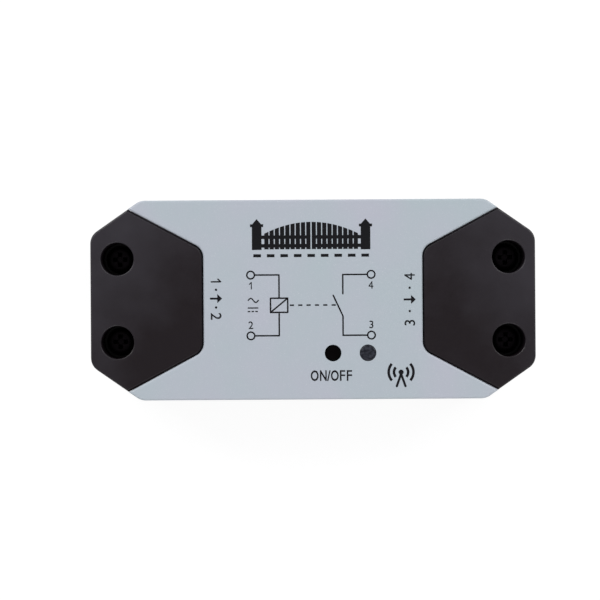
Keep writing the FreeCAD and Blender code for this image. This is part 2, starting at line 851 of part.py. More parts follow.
def cover_screws(end):
    """Two pan-head screws that hold an end cover to the base."""
    screws = []
    top = screw_seat + size.screw_head_height
    for number, side in enumerate((1, -1)):
        y = side * size.screw_side
        profile = stepped(screw_tip, (size.screw_shank, screw_seat), (size.screw_head, top))
        blank = turning(f"{end}_screw_blank_{number}", screw_x, y, profile)
        recess = cross_recess(f"{end}_recess_{number}", screw_x, y, top, size.screw_recess,
                              size.screw_recess_width, size.screw_recess_depth)
        screws.append(cut(f"{end}_screw_{number}", blank, recess))
    keep(f"{end}_cover_screws", at_end(end, group(f"{end}_screw_pair", *screws)))


# Board
def circuit_board():
    """The board with chamfered corners, two screw holes, two peg holes and the lead holes."""
    length = board_half_length
    width = board_half_width
    inner_x = length - size.board_chamfer
    inner_y = width - size.board_chamfer
    outline = polygon("board_outline", [
        (length, -inner_y), (length, inner_y), (inner_x, width), (-inner_x, width),
        (-length, inner_y), (-length, -inner_y), (-inner_x, -width), (inner_x, -width),
    ])
    span = (size.board_height - OVERRUN, board_top + OVERRUN)
    hole = size.board_screw_shank + size.board_hole_clearance
    holes = [rod("post_hole", end * post_x, side * post_y, span, hole) for end in (1, -1) for side in (1, -1)]
    lead_hole = size.lead_diameter + size.lead_hole_gap
    holes += [rod("lead_hole", x, y, span, lead_hole) for x, y in all_leads]
    keep("circuit_board", cut("board", prism("board_blank", outline, (size.board_height, board_top)), *holes))


def board_screws():
    """Two small screws that hold the board to its posts."""
    screws = []
    tip = size.board_height - size.board_screw_reach + size.thread_gap
    top = board_top + size.board_screw_head_height
    for number, end in enumerate((1, -1)):
        profile = stepped(tip, (size.board_screw_shank, board_top), (size.board_screw_head, top))
        blank = turning(f"board_screw_blank_{number}", end * post_x, end * post_y, profile)
        recess = cross_recess(f"board_recess_{number}", end * post_x, end * post_y, top,
                              size.board_recess, size.board_recess_width, size.board_recess_depth)
        screws.append(cut(f"board_screw_{number}", blank, recess))
    keep("board_screws", group("board_screw_pair", *screws))


def solder_joints():
    """A solder cone round each lead under the board."""
    cones = []
    hole = size.lead_diameter + size.solder_gap
    for x, y in all_leads:
        cone = doc.addObject("Part::Cone", "solder_cone")
        cone.setExpression("Radius1", (size.solder_tip / 2).text)
        cone.setExpression("Radius2", (size.solder_diameter / 2).text)
        cone.setExpression("Height", size.solder_height.text)
        place(cone, x, y, size.board_height - size.solder_height)
        cones.append(cut("solder_joint", cone, rod("solder_bore", x, y, (0, board_top), hole)))
    keep("solder_joints", group("solder_group", *cones))


# Button and lamp
def push_button():
    """The cap that a finger presses, with its flange under the guide."""
    profile = stepped(button_foot, (size.button_foot, button_flange),
                      (size.button_flange, button_flange + size.button_flange_height),
                      (size.button_diameter, button_top))
    keep("button_cap", turning("button_cap_body", size.button_x, button_y, profile))


def push_switch():
    """The board switch under the cap: its case and its plunger."""
    top = board_top + size.switch_height
    lid = top - size.switch_lid
    flange = size.plunger_diameter + size.switch_rim
    floor = board_top + size.switch_floor
    x = size.button_x
    side = size.switch_side
    case = plate("switch_block", about(x, side), about(button_y, side), (board_top, top))
    room = rod("switch_room", x, button_y, (floor, lid), flange + 2 * size.button_gap)
    mouth_diameter = size.plunger_diameter + 2 * size.button_gap
    mouth = rod("switch_mouth", x, button_y, (floor, top + OVERRUN), mouth_diameter)
    keep("switch_case", cut("switch_case_cut", case, room, mouth))
    seat = lid - size.contact_gap
    profile = stepped(seat - size.plunger_flange_height, (flange, seat), (size.plunger_diameter, plunger_top))
    keep("switch_plunger", turning("switch_plunger_body", x, button_y, profile))


def status_lamp():
    """The lamp chip on the board and the light pipe above it."""
    x = size.lamp_x
    keep("status_lamp", plate("lamp_chip", about(x, size.lamp_length), about(button_y, size.lamp_width),
                              (board_top, board_top + size.lamp_height)))
    flange_top = roof_under - size.pipe_gap
    profile = stepped(board_top + size.lamp_height + size.pipe_foot_gap,
                      (size.pipe_stem, flange_top - size.pipe_flange_height),
                      (size.pipe_flange, flange_top), (size.pipe_diameter, size.body_height))
    keep("light_pipe", turning("light_pipe_body", x, button_y, profile))


# Screw terminals
def terminal_housing(end):
    """The insulating block with a pocket, a wire window and a screw mouth for each pole."""
    solid = block(f"{end}_block", (block_rear, block_front), (-size.block_half_width, size.block_half_width),
                  (board_top, block_top))
    spaces = []
    for side in (1, -1):
        y = side * pole_y
        pocket_y = about(y, size.block_pocket_width)
        pocket_z = (board_top + size.block_pocket_floor, clamp_head + size.thread_gap)
        spaces.append(block("cage_pocket", (pocket_rear, pocket_front), pocket_y, pocket_z))
        sill = board_top + size.window_sill
        spaces.append(block("wire_window", (pocket_front - OVERRUN, block_front + OVERRUN),
                            about(y, size.window_width), (sill, sill + size.window_height)))
        slot_x = (leg_x[0] - size.leg_gap, pocket_rear + OVERRUN)
        slot_z = (board_top - OVERRUN, bar_z[1] + size.leg_gap)
        spaces.append(block("leg_slot", slot_x, about(y, size.bar_width + 2 * size.leg_gap), slot_z))
        spaces.append(rod("head_room", screw_axis_x, y, (clamp_head, head_room),
                          size.clamp_head_diameter + 2 * size.clamp_head_gap))
        mouth_z = (clamp_head, block_top + OVERRUN)
        spaces.append(rod("screw_mouth", screw_axis_x, y, mouth_z, size.mouth_diameter))
    keep(f"{end}_terminal_housing", at_end(end, cut(f"{end}_housing_cut", solid, *spaces)))


def terminal_bars(end):
    """The two tinned bars that the wires are clamped against, each with a leg and a lead."""
    bars = []
    for side in (1, -1):
        y = side * pole_y
        bar_x = (leg_x[0], pocket_front - size.bar_setback)
        bar = block("contact_bar", bar_x, about(y, size.bar_width), bar_z)
        leg = block("bar_leg", leg_x, about(y, size.bar_width), (board_top, bar_z[1]))
        lead = rod("bar_lead", leg_centre, y, (lead_tip, bar_z[0]), size.lead_diameter)
        bars.append(join(f"{end}_bar", bar, leg, lead))
    keep(f"{end}_terminal_bars", at_end(end, group(f"{end}_bar_pair", *bars)))


def clamp_cage(end, number, y):
    """The square cage that rises when its screw is turned."""
    width = size.cage_width
    outer = block(f"{end}_cage_block", (cage_x[1], cage_x[0]), about(y, width), (cage_floor, cage_top))
    inside = block("cage_inside", (cage_x[1] - OVERRUN, cage_x[0] + OVERRUN),
                   about(y, width - 2 * size.cage_side), (cage_inside, cage_ceiling))
    thread = rod("cage_thread", screw_axis_x, y, (cage_ceiling - OVERRUN, cage_top + OVERRUN),
                 size.clamp_screw_diameter + size.thread_gap)
    keep(f"{end}_clamp_cage_{number}", at_end(end, cut(f"{end}_cage_{number}", outer, inside, thread)))


def clamp_screw(end, number, y):
    """The slotted screw that stays in place and lifts its cage."""
    head = size.clamp_head_diameter
    profile = stepped(clamp_tip, (size.clamp_screw_diameter, clamp_head), (head, clamp_top))
    blank = turning(f"{end}_clamp_blank_{number}", screw_axis_x, y, profile)
    slot_z = (clamp_top - size.clamp_slot_depth, clamp_top + OVERRUN)
    slot = block("clamp_slot", about(screw_axis_x, 2 * head), about(y, size.clamp_slot_width), slot_z)
    keep(f"{end}_clamp_screw_{number}", at_end(end, cut(f"{end}_clamp_{number}", blank, slot)))


# Relay
def relay():
    """The relay that closes the output: case, coil, magnet frame, armature and contacts."""
    x = relay_x
    y = relay_y
    case_x = about(x, size.relay_length)
    case_y = about(y, size.relay_width)
    top = relay_top
    case_z = (board_top + size.relay_fit, top)
    wall = size.relay_wall
    case = block("relay_case_block", case_x, case_y, case_z)
    case = fillet("relay_case_round", case, wall / 2, at_height(top))
    room_x = about(x, size.relay_length - 2 * wall)
    room_y = about(y, size.relay_width - 2 * wall)
    room = block("relay_case_room", room_x, room_y, (board_top - OVERRUN, top - wall))
    keep("relay_case", cut("relay_case_cut", case, room))

    inset = wall + size.relay_fit
    base_x = about(x, size.relay_length - 2 * inset)
    base_y = about(y, size.relay_width - 2 * inset)
    base = plate("relay_base_plate", base_x, base_y, (board_top, relay_floor))
    bore = size.lead_diameter + size.thread_gap
    pins = [place for places in relay_pins.values() for place in places]
    bores = [rod("base_bore", px, py, (board_top - OVERRUN, relay_floor + OVERRUN), bore) for px, py in pins]
    keep("relay_base", cut("relay_base_cut", base, *bores))

    flange_x = about(coil_x, size.bobbin_length)
    flange_y = about(y, size.bobbin_width)
    lower = block("bobbin_lower", flange_x, flange_y, (bobbin_bottom, bobbin_bottom + size.bobbin_flange))
    upper = block("bobbin_upper", flange_x, flange_y, (bobbin_top - size.bobbin_flange, bobbin_top))
    tube = rod("bobbin_tube", coil_x, y, (bobbin_bottom, bobbin_top), size.bobbin_tube)
    bobbin_hole = rod("bobbin_hole", coil_x, y, (bobbin_bottom - OVERRUN, bobbin_top + OVERRUN),
                      size.core_diameter + size.core_gap)
    keep("relay_bobbin", cut("relay_bobbin_cut", join("bobbin_spool", lower, upper, tube), bobbin_hole))

    winding_z = (bobbin_bottom + size.bobbin_flange + size.winding_gap,
                 bobbin_top - size.bobbin_flange - size.winding_gap)
    winding = rod("winding_block", coil_x, y, winding_z, size.winding_diameter)
    winding_bore = size.bobbin_tube + size.winding_gap
    winding_hole = rod("winding_hole", coil_x, y, (bobbin_bottom, bobbin_top), winding_bore)
    keep("relay_winding", cut("relay_winding_cut", winding, winding_hole))

    core = stepped(relay_floor, (size.core_diameter, bobbin_top), (size.pole_face, pole_top))
    keep("relay_core", turning("relay_core_body", coil_x, y, core))

    yoke_y = about(y, size.yoke_width)
    foot = block("yoke_foot", (coil_x - size.core_diameter, yoke_x[1]), yoke_y, (relay_floor, bobbin_bottom))
    upright = block("yoke_upright", yoke_x, yoke_y, (relay_floor, armature_bottom - size.hinge_gap))
    pin_z = (lead_tip, relay_floor + size.yoke_thickness / 2)
    common_pin = rod("common_pin", hinge_x, y, pin_z, size.lead_diameter)
    yoke_hole = rod("yoke_hole", coil_x, y, (relay_floor - OVERRUN, bobbin_bottom + OVERRUN),
                    size.core_diameter + size.core_gap)
    keep("relay_yoke", cut("relay_yoke_cut", join("yoke_frame", foot, upright, common_pin), yoke_hole))

    armature_x = (coil_x - size.armature_reach, yoke_x[1])
    keep("relay_armature", plate("armature_plate", armature_x, yoke_y, (armature_bottom, armature_top)))
    strip_x = (contact_x - size.contact_diameter / 2, coil_x)
    strip_z = (armature_top, armature_top + size.spring_thickness)
    strip = block("spring_strip", strip_x, about(y, size.spring_width), strip_z)
    button = rod("moving_contact", contact_x, y, (moving_contact, contact_top), size.contact_diameter)
    keep("relay_contact_spring", join("contact_spring", strip, button))

    post_top = fixed_contact - size.fixed_contact_height
    post = block("contact_post", about(contact_x, size.contact_post_width), about(y, size.spring_width),
                 (relay_floor, post_top))
    fixed = rod("fixed_button", contact_x, y, (post_top, fixed_contact), size.contact_diameter)
    pin = rod("contact_pin", contact_x, y, (lead_tip, relay_floor), size.lead_diameter)
    keep("relay_fixed_contact", join("fixed_contact", post, fixed, pin))

    coil_pins = [rod("coil_pin", px, py, (lead_tip, bobbin_bottom), size.lead_diameter)
                 for px, py in relay_pins["coil"]]
    keep("relay_coil_pins", group("coil_pin_pair", *coil_pins))


# Radio module
def radio_module():
    """The wireless module's small board and its metal shield."""
    top = board_top + size.radio_board
    keep("radio_board", plate("radio_plate", radio_x, radio_y, (board_top, top)))
    shield_x = (radio_x[0] + size.shield_inset, radio_x[0] + size.shield_inset + size.shield_length)
    shield_y = about((radio_y[0] + radio_y[1]) / 2, size.shield_width)
    keep("radio_shield", plate("shield_block", shield_x, shield_y, (top, top + size.shield_height)))


# Supply and control pieces
def can_capacitor(name, centre, diameter, height, leads):
    """An upright can with a crimp groove, a shoulder and two leads."""
    x, y = centre
    seat = board_top + size.chip_stand
    groove = seat + size.cap_groove_height
    waist = diameter - 2 * size.cap_groove_depth
    top = seat + height
    profile = stepped(seat, (diameter, groove), (waist, groove + size.cap_shoulder),
                      (diameter, top - size.cap_shoulder), (waist, top))
    can = turning(f"{name}_can", x, y, profile)
    wires = [rod("can_lead", px, py, (lead_tip, seat + size.cap_shoulder), size.cap_lead_diameter)
             for px, py in leads]
    keep(name, join(f"{name}_joined", can, *wires))


def inductor():
    """The power inductor: a drum core between two square flanges."""
    x = between_x
    y = inductor_y
    top = board_top + size.inductor_height
    side = size.inductor_side
    lower = block("drum_lower", about(x, side), about(y, side), (board_top, board_top + size.inductor_flange))
    upper = block("drum_upper", about(x, side), about(y, side), (top - size.inductor_flange, top))
    waist = rod("drum_waist", x, y, (board_top, top), size.inductor_waist)
    keep("inductor", join("inductor_drum", lower, waist, upper))


def centre_of(prefix, end, side):
    """The centre of a moulded piece, from the screen at one end and the board's long edge on one side."""
    inwards = getattr(size, f"{prefix}_end")
    edge = getattr(size, f"{prefix}_edge")
    return (end * (screen_x - inwards), side * (board_half_width - edge))


def sizes_of(prefix):
    """The length, width and height of a moulded piece."""
    return [getattr(size, f"{prefix}_{word}") for word in ("length", "width", "height")]


def leaded_chip(name, prefix, centre, leads):
    """A moulded chip with rows of flat leads along its two long sides."""
    x, y = centre
    length, width, height = sizes_of(prefix)
    stand = board_top + size.chip_stand
    case = plate(f"{name}_case", about(x, length), about(y, width), (stand, stand + height))
    pitch = length / leads
    foot_y = about(y, width + 2 * size.chip_lead_reach)
    foot_z = (board_top, stand + size.chip_lead_thickness)
    feet = []
    for number in range(leads):
        lead_x = x + pitch * (number - (leads - 1) / 2)
        feet.append(block("chip_lead", about(lead_x, size.chip_lead_width), foot_y, foot_z))
    keep(name, join(f"{name}_joined", case, *feet))


def flat_piece(name, prefix, centre):
    """A moulded piece that lies flat on the board."""
    x, y = centre
    length, width, height = sizes_of(prefix)
    keep(name, plate(f"{name}_case", about(x, length), about(y, width), (board_top, board_top + height)))


def small_chips(name, places, height):
    """A group of small chips, long side along X."""
    chips = [plate(f"{name}_{number}", about(x, size.small_length), about(y, size.small_width),
                   (board_top, board_top + height)) for number, (x, y) in enumerate(places)]
    keep(name, group(f"{name}_group", *chips))


def chip_rows():
    """The small resistors and ceramic capacitors, in rows along the board's edges and its middle."""
    back = board_half_width - size.row_edge
    back_end = screen_x - size.back_row_end
    middle = (relay_front + button_y + size.switch_side / 2) / 2
    resistors = [(back_end - number * size.small_pitch, back) for number in (1, 2, 3)]
    resistors += [(size.front_row_x + number * size.small_pitch, -back) for number in (1, 2)]
    ceramics = [(back_end, back), (size.front_row_x, -back)]
    ceramics += [(size.middle_row_x + number * size.small_pitch, middle) for number in (0, 1)]
    small_chips("chip_resistors", resistors, size.resistor_height)
    small_chips("chip_capacitors", ceramics, size.ceramic_height)


base_shell()
top_shell()
for cover_end in ("input", "output"):
    end_cover(cover_end)
    cover_screws(cover_end)
    terminal_housing(cover_end)
    terminal_bars(cover_end)
    for pole, pole_side in enumerate((1, -1), start=1):
        clamp_cage(cover_end, pole, pole_side * pole_y)
        clamp_screw(cover_end, pole, pole_side * pole_y)
circuit_board()
board_screws()
solder_joints()
push_button()
push_switch()
status_lamp()
relay()
radio_module()
can_capacitor("supply_capacitor", supply_cap, size.supply_cap_diameter, size.supply_cap_height, cap_leads[:2])
can_capacitor("filter_capacitor", filter_cap, size.filter_cap_diameter, size.filter_cap_height, cap_leads[2:])
inductor()
leaded_chip("bridge_rectifier", "bridge", centre_of("bridge", -1, 1), 2)
leaded_chip("converter_chip", "converter", centre_of("converter", 1, -1), 4)
leaded_chip("regulator_chip", "regulator", centre_of("regulator", 1, -1), 3)
leaded_chip("coil_transistor", "transistor", transistor, 2)
flat_piece("input_fuse", "fuse", centre_of("fuse", -1, 1))
flat_piece("flyback_diode", "diode", centre_of("diode", 1, 1))
flat_piece("surge_suppressor", "suppressor", centre_of("suppressor", 1, 1))
chip_rows()

# Check every object, then write each sub-part
doc.recompute()
for item in doc.Objects:
    if "Invalid" in item.State or "Error" in item.State:
        raise RuntimeError(f"{item.Label} failed: {item.State}")
os.makedirs("parts", exist_ok=True)
for item in sub_parts:
    if item.Shape.isNull() or not item.Shape.isValid():
        raise RuntimeError(f"{item.Label} has no valid shape")
    item.Shape.exportStep(f"parts/{item.Label}.step")
print(f"{len(sub_parts)} sub-parts written")
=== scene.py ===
"""Looks of the in-line gate relay module: finishes, printed marks, screws, studio and camera."""
import json
import math

import bmesh
import bpy
from mathutils import Matrix, Vector


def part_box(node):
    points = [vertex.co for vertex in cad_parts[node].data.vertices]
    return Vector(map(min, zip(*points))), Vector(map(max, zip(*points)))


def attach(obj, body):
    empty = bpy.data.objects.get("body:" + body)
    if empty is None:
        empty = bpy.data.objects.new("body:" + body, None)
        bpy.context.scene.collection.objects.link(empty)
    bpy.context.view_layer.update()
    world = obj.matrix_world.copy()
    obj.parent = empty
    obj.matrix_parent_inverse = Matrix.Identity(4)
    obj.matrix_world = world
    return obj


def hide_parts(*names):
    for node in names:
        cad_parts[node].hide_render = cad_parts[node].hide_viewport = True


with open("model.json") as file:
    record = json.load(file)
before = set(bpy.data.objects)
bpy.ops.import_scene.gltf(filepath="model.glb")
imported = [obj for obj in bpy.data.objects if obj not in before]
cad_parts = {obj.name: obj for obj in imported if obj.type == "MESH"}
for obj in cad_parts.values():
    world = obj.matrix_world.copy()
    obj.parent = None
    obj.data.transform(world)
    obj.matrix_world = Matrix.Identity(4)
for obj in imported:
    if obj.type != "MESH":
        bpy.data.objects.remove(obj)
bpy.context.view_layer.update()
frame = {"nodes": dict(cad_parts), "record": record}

MM = 0.001
FULL_TURN = 2 * math.pi
QUARTER_TURN = math.pi / 2
ENDS = {"input": -1, "output": 1}


def colour(red, green, blue):
    """A colour as it shows on a screen, 0 to 255, as the linear colour that a shader takes."""
    parts = []
    for value in (red, green, blue):
        share = value / 255
        parts.append(share / 12.92 if share <= 0.04045 else ((share + 0.055) / 1.055) ** 2.4)
    return (*parts, 1.0)


# Nodes
def finish(name, roughness, metallic=0.0, gloss=0.5):
    """A new material, with its node tree, its shader and the piece's own coordinates."""
    material = bpy.data.materials.new(name)
    material.use_nodes = True
    tree = material.node_tree
    shader = tree.nodes["Principled BSDF"]
    shader.inputs["Roughness"].default_value = roughness
    shader.inputs["Metallic"].default_value = metallic
    shader.inputs["Specular IOR Level"].default_value = gloss
    place = tree.nodes.new("ShaderNodeTexCoord").outputs["Object"]
    return material, tree, shader, place


def noise(tree, place, size, detail=2.0):
    """Soft noise whose blots are about one size, in millimetres, across."""
    node = tree.nodes.new("ShaderNodeTexNoise")
    node.inputs["Scale"].default_value = 1 / (size * MM)
    node.inputs["Detail"].default_value = detail
    tree.links.new(place, node.inputs["Vector"])
    return node.outputs["Fac"]


def cells(tree, place, size, distance="EUCLIDEAN"):
    """Cells of about one size, in millimetres, each with a colour of its own."""
    node = tree.nodes.new("ShaderNodeTexVoronoi")
    node.distance = distance
    node.inputs["Scale"].default_value = 1 / (size * MM)
    tree.links.new(place, node.inputs["Vector"])
    return node.outputs["Color"]


def stripes(tree, place, direction, pitch, distortion=0.0):
    """Parallel stripes across one axis, at a pitch in millimetres."""
    node = tree.nodes.new("ShaderNodeTexWave")
    node.bands_direction = direction
    node.inputs["Scale"].default_value = math.pi / (10 * pitch * MM)
    node.inputs["Distortion"].default_value = distortion
    tree.links.new(place, node.inputs["Vector"])
    return node.outputs["Fac"]


def stretched(tree, place, scale):
    """Coordinates stretched along the axes, so that noise becomes streaks."""
    node = tree.nodes.new("ShaderNodeMapping")
    node.inputs["Scale"].default_value = scale
    tree.links.new(place, node.inputs["Vector"])
    return node.outputs["Vector"]


def spread(tree, amount, low, high, start=0.3, end=0.7):
    """A grey value between a start and an end, spread out between a low and a high one."""
    node = tree.nodes.new("ShaderNodeMapRange")
    node.inputs["From Min"].default_value = start
    node.inputs["From Max"].default_value = end
    node.inputs["To Min"].default_value = low
    node.inputs["To Max"].default_value = high
    tree.links.new(amount, node.inputs["Value"])
    return node.outputs["Result"]


def blended(tree, amount, first, second):
    """Two colours, or outputs of nodes, blended by an amount."""
    node = tree.nodes.new("ShaderNodeMix")
    node.data_type = "RGBA"
    tree.links.new(amount, node.inputs[0])
    for socket, source in ((node.inputs[6], first), (node.inputs[7], second)):
        if isinstance(source, tuple):
            socket.default_value = source
        else:
            tree.links.new(source, socket)
    return node.outputs[2]


def worked_out(tree, operation, *values, clamp=False):
    """The result of an operation on outputs of nodes and plain numbers."""
    node = tree.nodes.new("ShaderNodeMath")
    node.operation = operation
    node.use_clamp = clamp
    for socket, value in zip(node.inputs, values):
        if isinstance(value, float):
            socket.default_value = value
        else:
            tree.links.new(value, socket)
    return node.outputs["Value"]


def bump(tree, shader, height, depth):
    """Raise the surface by a grey height of a real depth in millimetres."""
    node = tree.nodes.new("ShaderNodeBump")
    node.inputs["Distance"].default_value = depth * MM
    tree.links.new(height, node.inputs["Height"])
    tree.links.new(node.outputs["Normal"], shader.inputs["Normal"])


# Finishes
def moulded(name, tone, other_tone, roughness, grain, depth, mottle, gloss=0.5):
    """Moulded plastic: a fine eroded grain and slow changes of tone and gloss."""
    material, tree, shader, place = finish(name, roughness[0], gloss=gloss)
    slow = spread(tree, noise(tree, place, mottle, detail=3.0), 0.0, 1.0)
    tree.links.new(blended(tree, slow, tone, other_tone), shader.inputs["Base Color"])
    fine = noise(tree, place, grain, detail=4.0)
    tree.links.new(spread(tree, fine, *roughness), shader.inputs["Roughness"])
    bump(tree, shader, fine, depth)
    return material


def cover_grain_and_painted_sheen():
    """The dark plastic of the end covers with painted sheen: its top face is painted lighter outwards
    and upwards, as if lit there, and varies in soft random clouds of tone.
    """
    material, tree, shader, place = finish("cover_plastic_grain_and_painted_sheen", roughness=0.42, gloss=0.32)
    axes = tree.nodes.new("ShaderNodeSeparateXYZ")
    tree.links.new(place, axes.inputs["Vector"])
    # Painted sheen: the tone grows lighter towards the outer ends and the upper side of each cover,
    # standing in for light falling on it.
    from_middle = worked_out(tree, "ABSOLUTE", axes.outputs["X"])
    outwards = spread(tree, from_middle, 0.0, 0.7, start=0.027, end=0.045)
    upwards = spread(tree, axes.outputs["Y"], -0.3, 0.55, start=-0.014, end=0.020)
    clouds = spread(tree, noise(tree, place, size=9.0, detail=3.0), -0.2, 0.2)
    # Painted sheen: the sides get only a quarter of the lighter tone, so the top face looks lit.
    painted_sheen_top_mask = spread(tree, axes.outputs["Z"], 0.25, 1.0, start=0.0215, end=0.0224)
    # The sum is painted sheen outwards and upwards, plus random clouds of tone.
    painted_sheen_and_mottle = worked_out(tree, "ADD", outwards, upwards, clamp=True)
    painted_sheen_and_mottle = worked_out(tree, "ADD", painted_sheen_and_mottle, clouds, clamp=True)
    painted_sheen_and_mottle = worked_out(tree, "MULTIPLY", painted_sheen_and_mottle, painted_sheen_top_mask)
    tone = blended(tree, painted_sheen_and_mottle, colour(18, 9, 15), colour(45, 42, 48))
    tree.links.new(tone, shader.inputs["Base Color"])
    fine = noise(tree, place, size=0.22, detail=4.0)
    tree.links.new(spread(tree, fine, 0.36, 0.48), shader.inputs["Roughness"])
    bump(tree, shader, fine, depth=0.008)
    return material


def silver_paint():
    """Satin silver plastic: fine pale flakes in a cool grey that drifts between blue and pink."""
    material, tree, shader, place = finish("silver_paint", roughness=0.42)
    drift = spread(tree, noise(tree, place, size=14.0), 0.0, 1.0)
    ground = blended(tree, drift, colour(171, 182, 189), colour(177, 180, 192))
    flakes = spread(tree, cells(tree, place, size=0.1), 0.0, 1.0, start=0.8, end=1.0)
    tone = blended(tree, flakes, ground, colour(193, 197, 204))
    tree.links.new(tone, shader.inputs["Base Color"])
    haze = spread(tree, noise(tree, place, size=0.4, detail=3.0), 0.38, 0.48)
    tree.links.new(haze, shader.inputs["Roughness"])
    bump(tree, shader, noise(tree, place, size=0.18, detail=3.0), depth=0.004)
    return material


def metal(name, tone, other_tone, roughness, streak=(1.0, 1.0, 1.0)):
    """Bare or plated metal with streaks or spangle from its making."""
    material, tree, shader, place = finish(name, roughness[0], metallic=1.0)
    marks = noise(tree, stretched(tree, place, streak), size=0.35, detail=4.0)
    mottled = blended(tree, spread(tree, marks, 0.0, 1.0), tone, other_tone)
    tree.links.new(mottled, shader.inputs["Base Color"])
    tree.links.new(spread(tree, marks, *roughness), shader.inputs["Roughness"])
    bump(tree, shader, marks, depth=0.002)
    return material


def smoked_window():
    """Smoked lamp window: dark, glossy and a little cloudy inside."""
    material, tree, shader, place = finish("smoked_window", roughness=0.3, gloss=0.3)
    cloud = spread(tree, noise(tree, place, size=0.5, detail=3.0), 0.0, 1.0, start=0.4, end=0.62)
    smoke = blended(tree, cloud, colour(17, 19, 28), colour(52, 54, 63))
    tree.links.new(smoke, shader.inputs["Base Color"])
    bump(tree, shader, noise(tree, place, size=0.6), depth=0.003)
    return material


def solder_mask():
    """Green solder mask over copper tracks that run along or across the board, and over copper areas."""
    material, tree, shader, place = finish("solder_mask", roughness=0.3)
    fields = tree.nodes.new("ShaderNodeSeparateColor")
    tree.links.new(cells(tree, place, size=5.0, distance="CHEBYCHEV"), fields.inputs["Color"])
    turned = spread(tree, fields.outputs["Red"], 0.0, 1.0, start=0.5, end=0.51)
    crossways, lengthways = [stripes(tree, place, axis, pitch=0.9) for axis in ("X", "Y")]
    runs = blended(tree, turned, crossways, lengthways)
    tracks = spread(tree, runs, 0.0, 1.0, start=0.55, end=0.65)
    areas = spread(tree, fields.outputs["Green"], 0.0, 1.0, start=0.7, end=0.71)
    copper = worked_out(tree, "MAXIMUM", tracks, areas)
    tone = blended(tree, copper, colour(16, 78, 46), colour(30, 108, 64))
    tree.links.new(tone, shader.inputs["Base Color"])
    tree.links.new(spread(tree, noise(tree, place, size=3.0), 0.25, 0.38), shader.inputs["Roughness"])
    bump(tree, shader, copper, depth=0.03)
    return material


def wound_wire():
    """Enamelled copper wire: turns side by side up the winding."""
    material, tree, shader, place = finish("wound_wire", roughness=0.3, metallic=1.0)
    turns = stripes(tree, place, "Z", pitch=0.1885, distortion=0.4)
    tone = blended(tree, turns, colour(120, 62, 30), colour(196, 116, 66))
    tree.links.new(tone, shader.inputs["Base Color"])
    bump(tree, shader, turns, depth=0.05)
    return material


def ink(name, tone, worn_tone):
    """Printed ink: nearly even, a little thin where the grain of the plastic stands up."""
    material, tree, shader, place = finish(name, roughness=0.6, gloss=0.15)
    thin = spread(tree, noise(tree, place, size=0.15, detail=3.0), 0.0, 1.0, start=0.55, end=0.8)
    tree.links.new(blended(tree, thin, tone, worn_tone), shader.inputs["Base Color"])
    bump(tree, shader, noise(tree, place, size=0.18, detail=3.0), depth=0.004)
    return material


dark_plastic = moulded("dark_plastic_grain", colour(25, 16, 22), colour(41, 36, 41),
                       roughness=(0.36, 0.48), grain=0.22, depth=0.008, mottle=13.0, gloss=0.32)
# The covers' plastic, with painted sheen on its top face and random clouds of tone.
cover_plastic = cover_grain_and_painted_sheen()
silver = silver_paint()
button_black = moulded("button_black", colour(2, 1, 1), colour(5, 3, 4),
                       roughness=(0.28, 0.36), grain=0.12, depth=0.003, mottle=2.0, gloss=0.05)
window = smoked_window()
chip_black = moulded("chip_black", colour(34, 34, 37), colour(42, 42, 46),
                     roughness=(0.5, 0.62), grain=0.12, depth=0.006, mottle=3.0)
black_screw = metal("black_screw_steel", colour(42, 36, 41), colour(56, 50, 56), roughness=(0.45, 0.6))
zinc = metal("bright_zinc", colour(184, 186, 190), colour(198, 199, 202),
             roughness=(0.26, 0.34), streak=(1.0, 1.0, 6.0))
tinned = metal("tinned_brass_plate", colour(196, 194, 187), colour(210, 208, 201),
               roughness=(0.28, 0.36), streak=(5.0, 1.0, 1.0))
solder = metal("bright_solder", colour(196, 198, 200), colour(222, 224, 226), roughness=(0.15, 0.3))
mask = solder_mask()
terminal_green = moulded("terminal_green", colour(26, 120, 62), colour(32, 132, 70),
                         roughness=(0.34, 0.46), grain=0.3, depth=0.004, mottle=4.0)
cream = moulded("cream_nylon", colour(222, 218, 204), colour(230, 227, 216),
                roughness=(0.36, 0.48), grain=0.3, depth=0.004, mottle=4.0)
wire = wound_wire()
sleeve = moulded("shrunk_sleeve", colour(18, 22, 46), colour(24, 28, 56),
                 roughness=(0.2, 0.3), grain=1.2, depth=0.006, mottle=3.0)
ferrite = moulded("sintered_ferrite", colour(62, 62, 65), colour(74, 74, 77),
                  roughness=(0.6, 0.75), grain=0.2, depth=0.012, mottle=2.0)
ceramic = moulded("fired_ceramic", colour(186, 160, 126), colour(198, 172, 138),
                  roughness=(0.4, 0.55), grain=0.15, depth=0.004, mottle=1.0)
black_ink = ink("black_ink", colour(12, 12, 16), colour(27, 28, 35))
white_ink = ink("white_ink", colour(224, 226, 224), colour(200, 206, 202))

NODE_FINISHES = {"input_cover": cover_plastic, "output_cover": cover_plastic}
SLOT_FINISHES = {
    "dark_plastic": dark_plastic,
    "silver_plastic": silver,
    "button_plastic": button_black,
    "lamp_window": window,
    "black_moulding": chip_black,
    "blackened_steel": black_screw,
    "zinc_steel": zinc,
    "tinned_brass": tinned,
    "board_laminate": mask,
    "terminal_plastic": terminal_green,
    "bobbin_plastic": cream,
    "copper_wire": wire,
    "can_sleeve": sleeve,
    "ferrite": ferrite,
    "ceramic": ceramic,
    "solder": solder,
}


def dress_frame():
    """Give every node of the frame its own finish, or the finish of its material slot."""
    for part in frame["record"]["subparts"]:
        material = NODE_FINISHES.get(part["node"], SLOT_FINISHES[part["material_slot"]])
        for slot in frame["nodes"][part["node"]].material_slots:
            slot.material = material


# Pieces
SHARP_ANGLE = math.radians(35)
MERGE_REACH = 0.0001


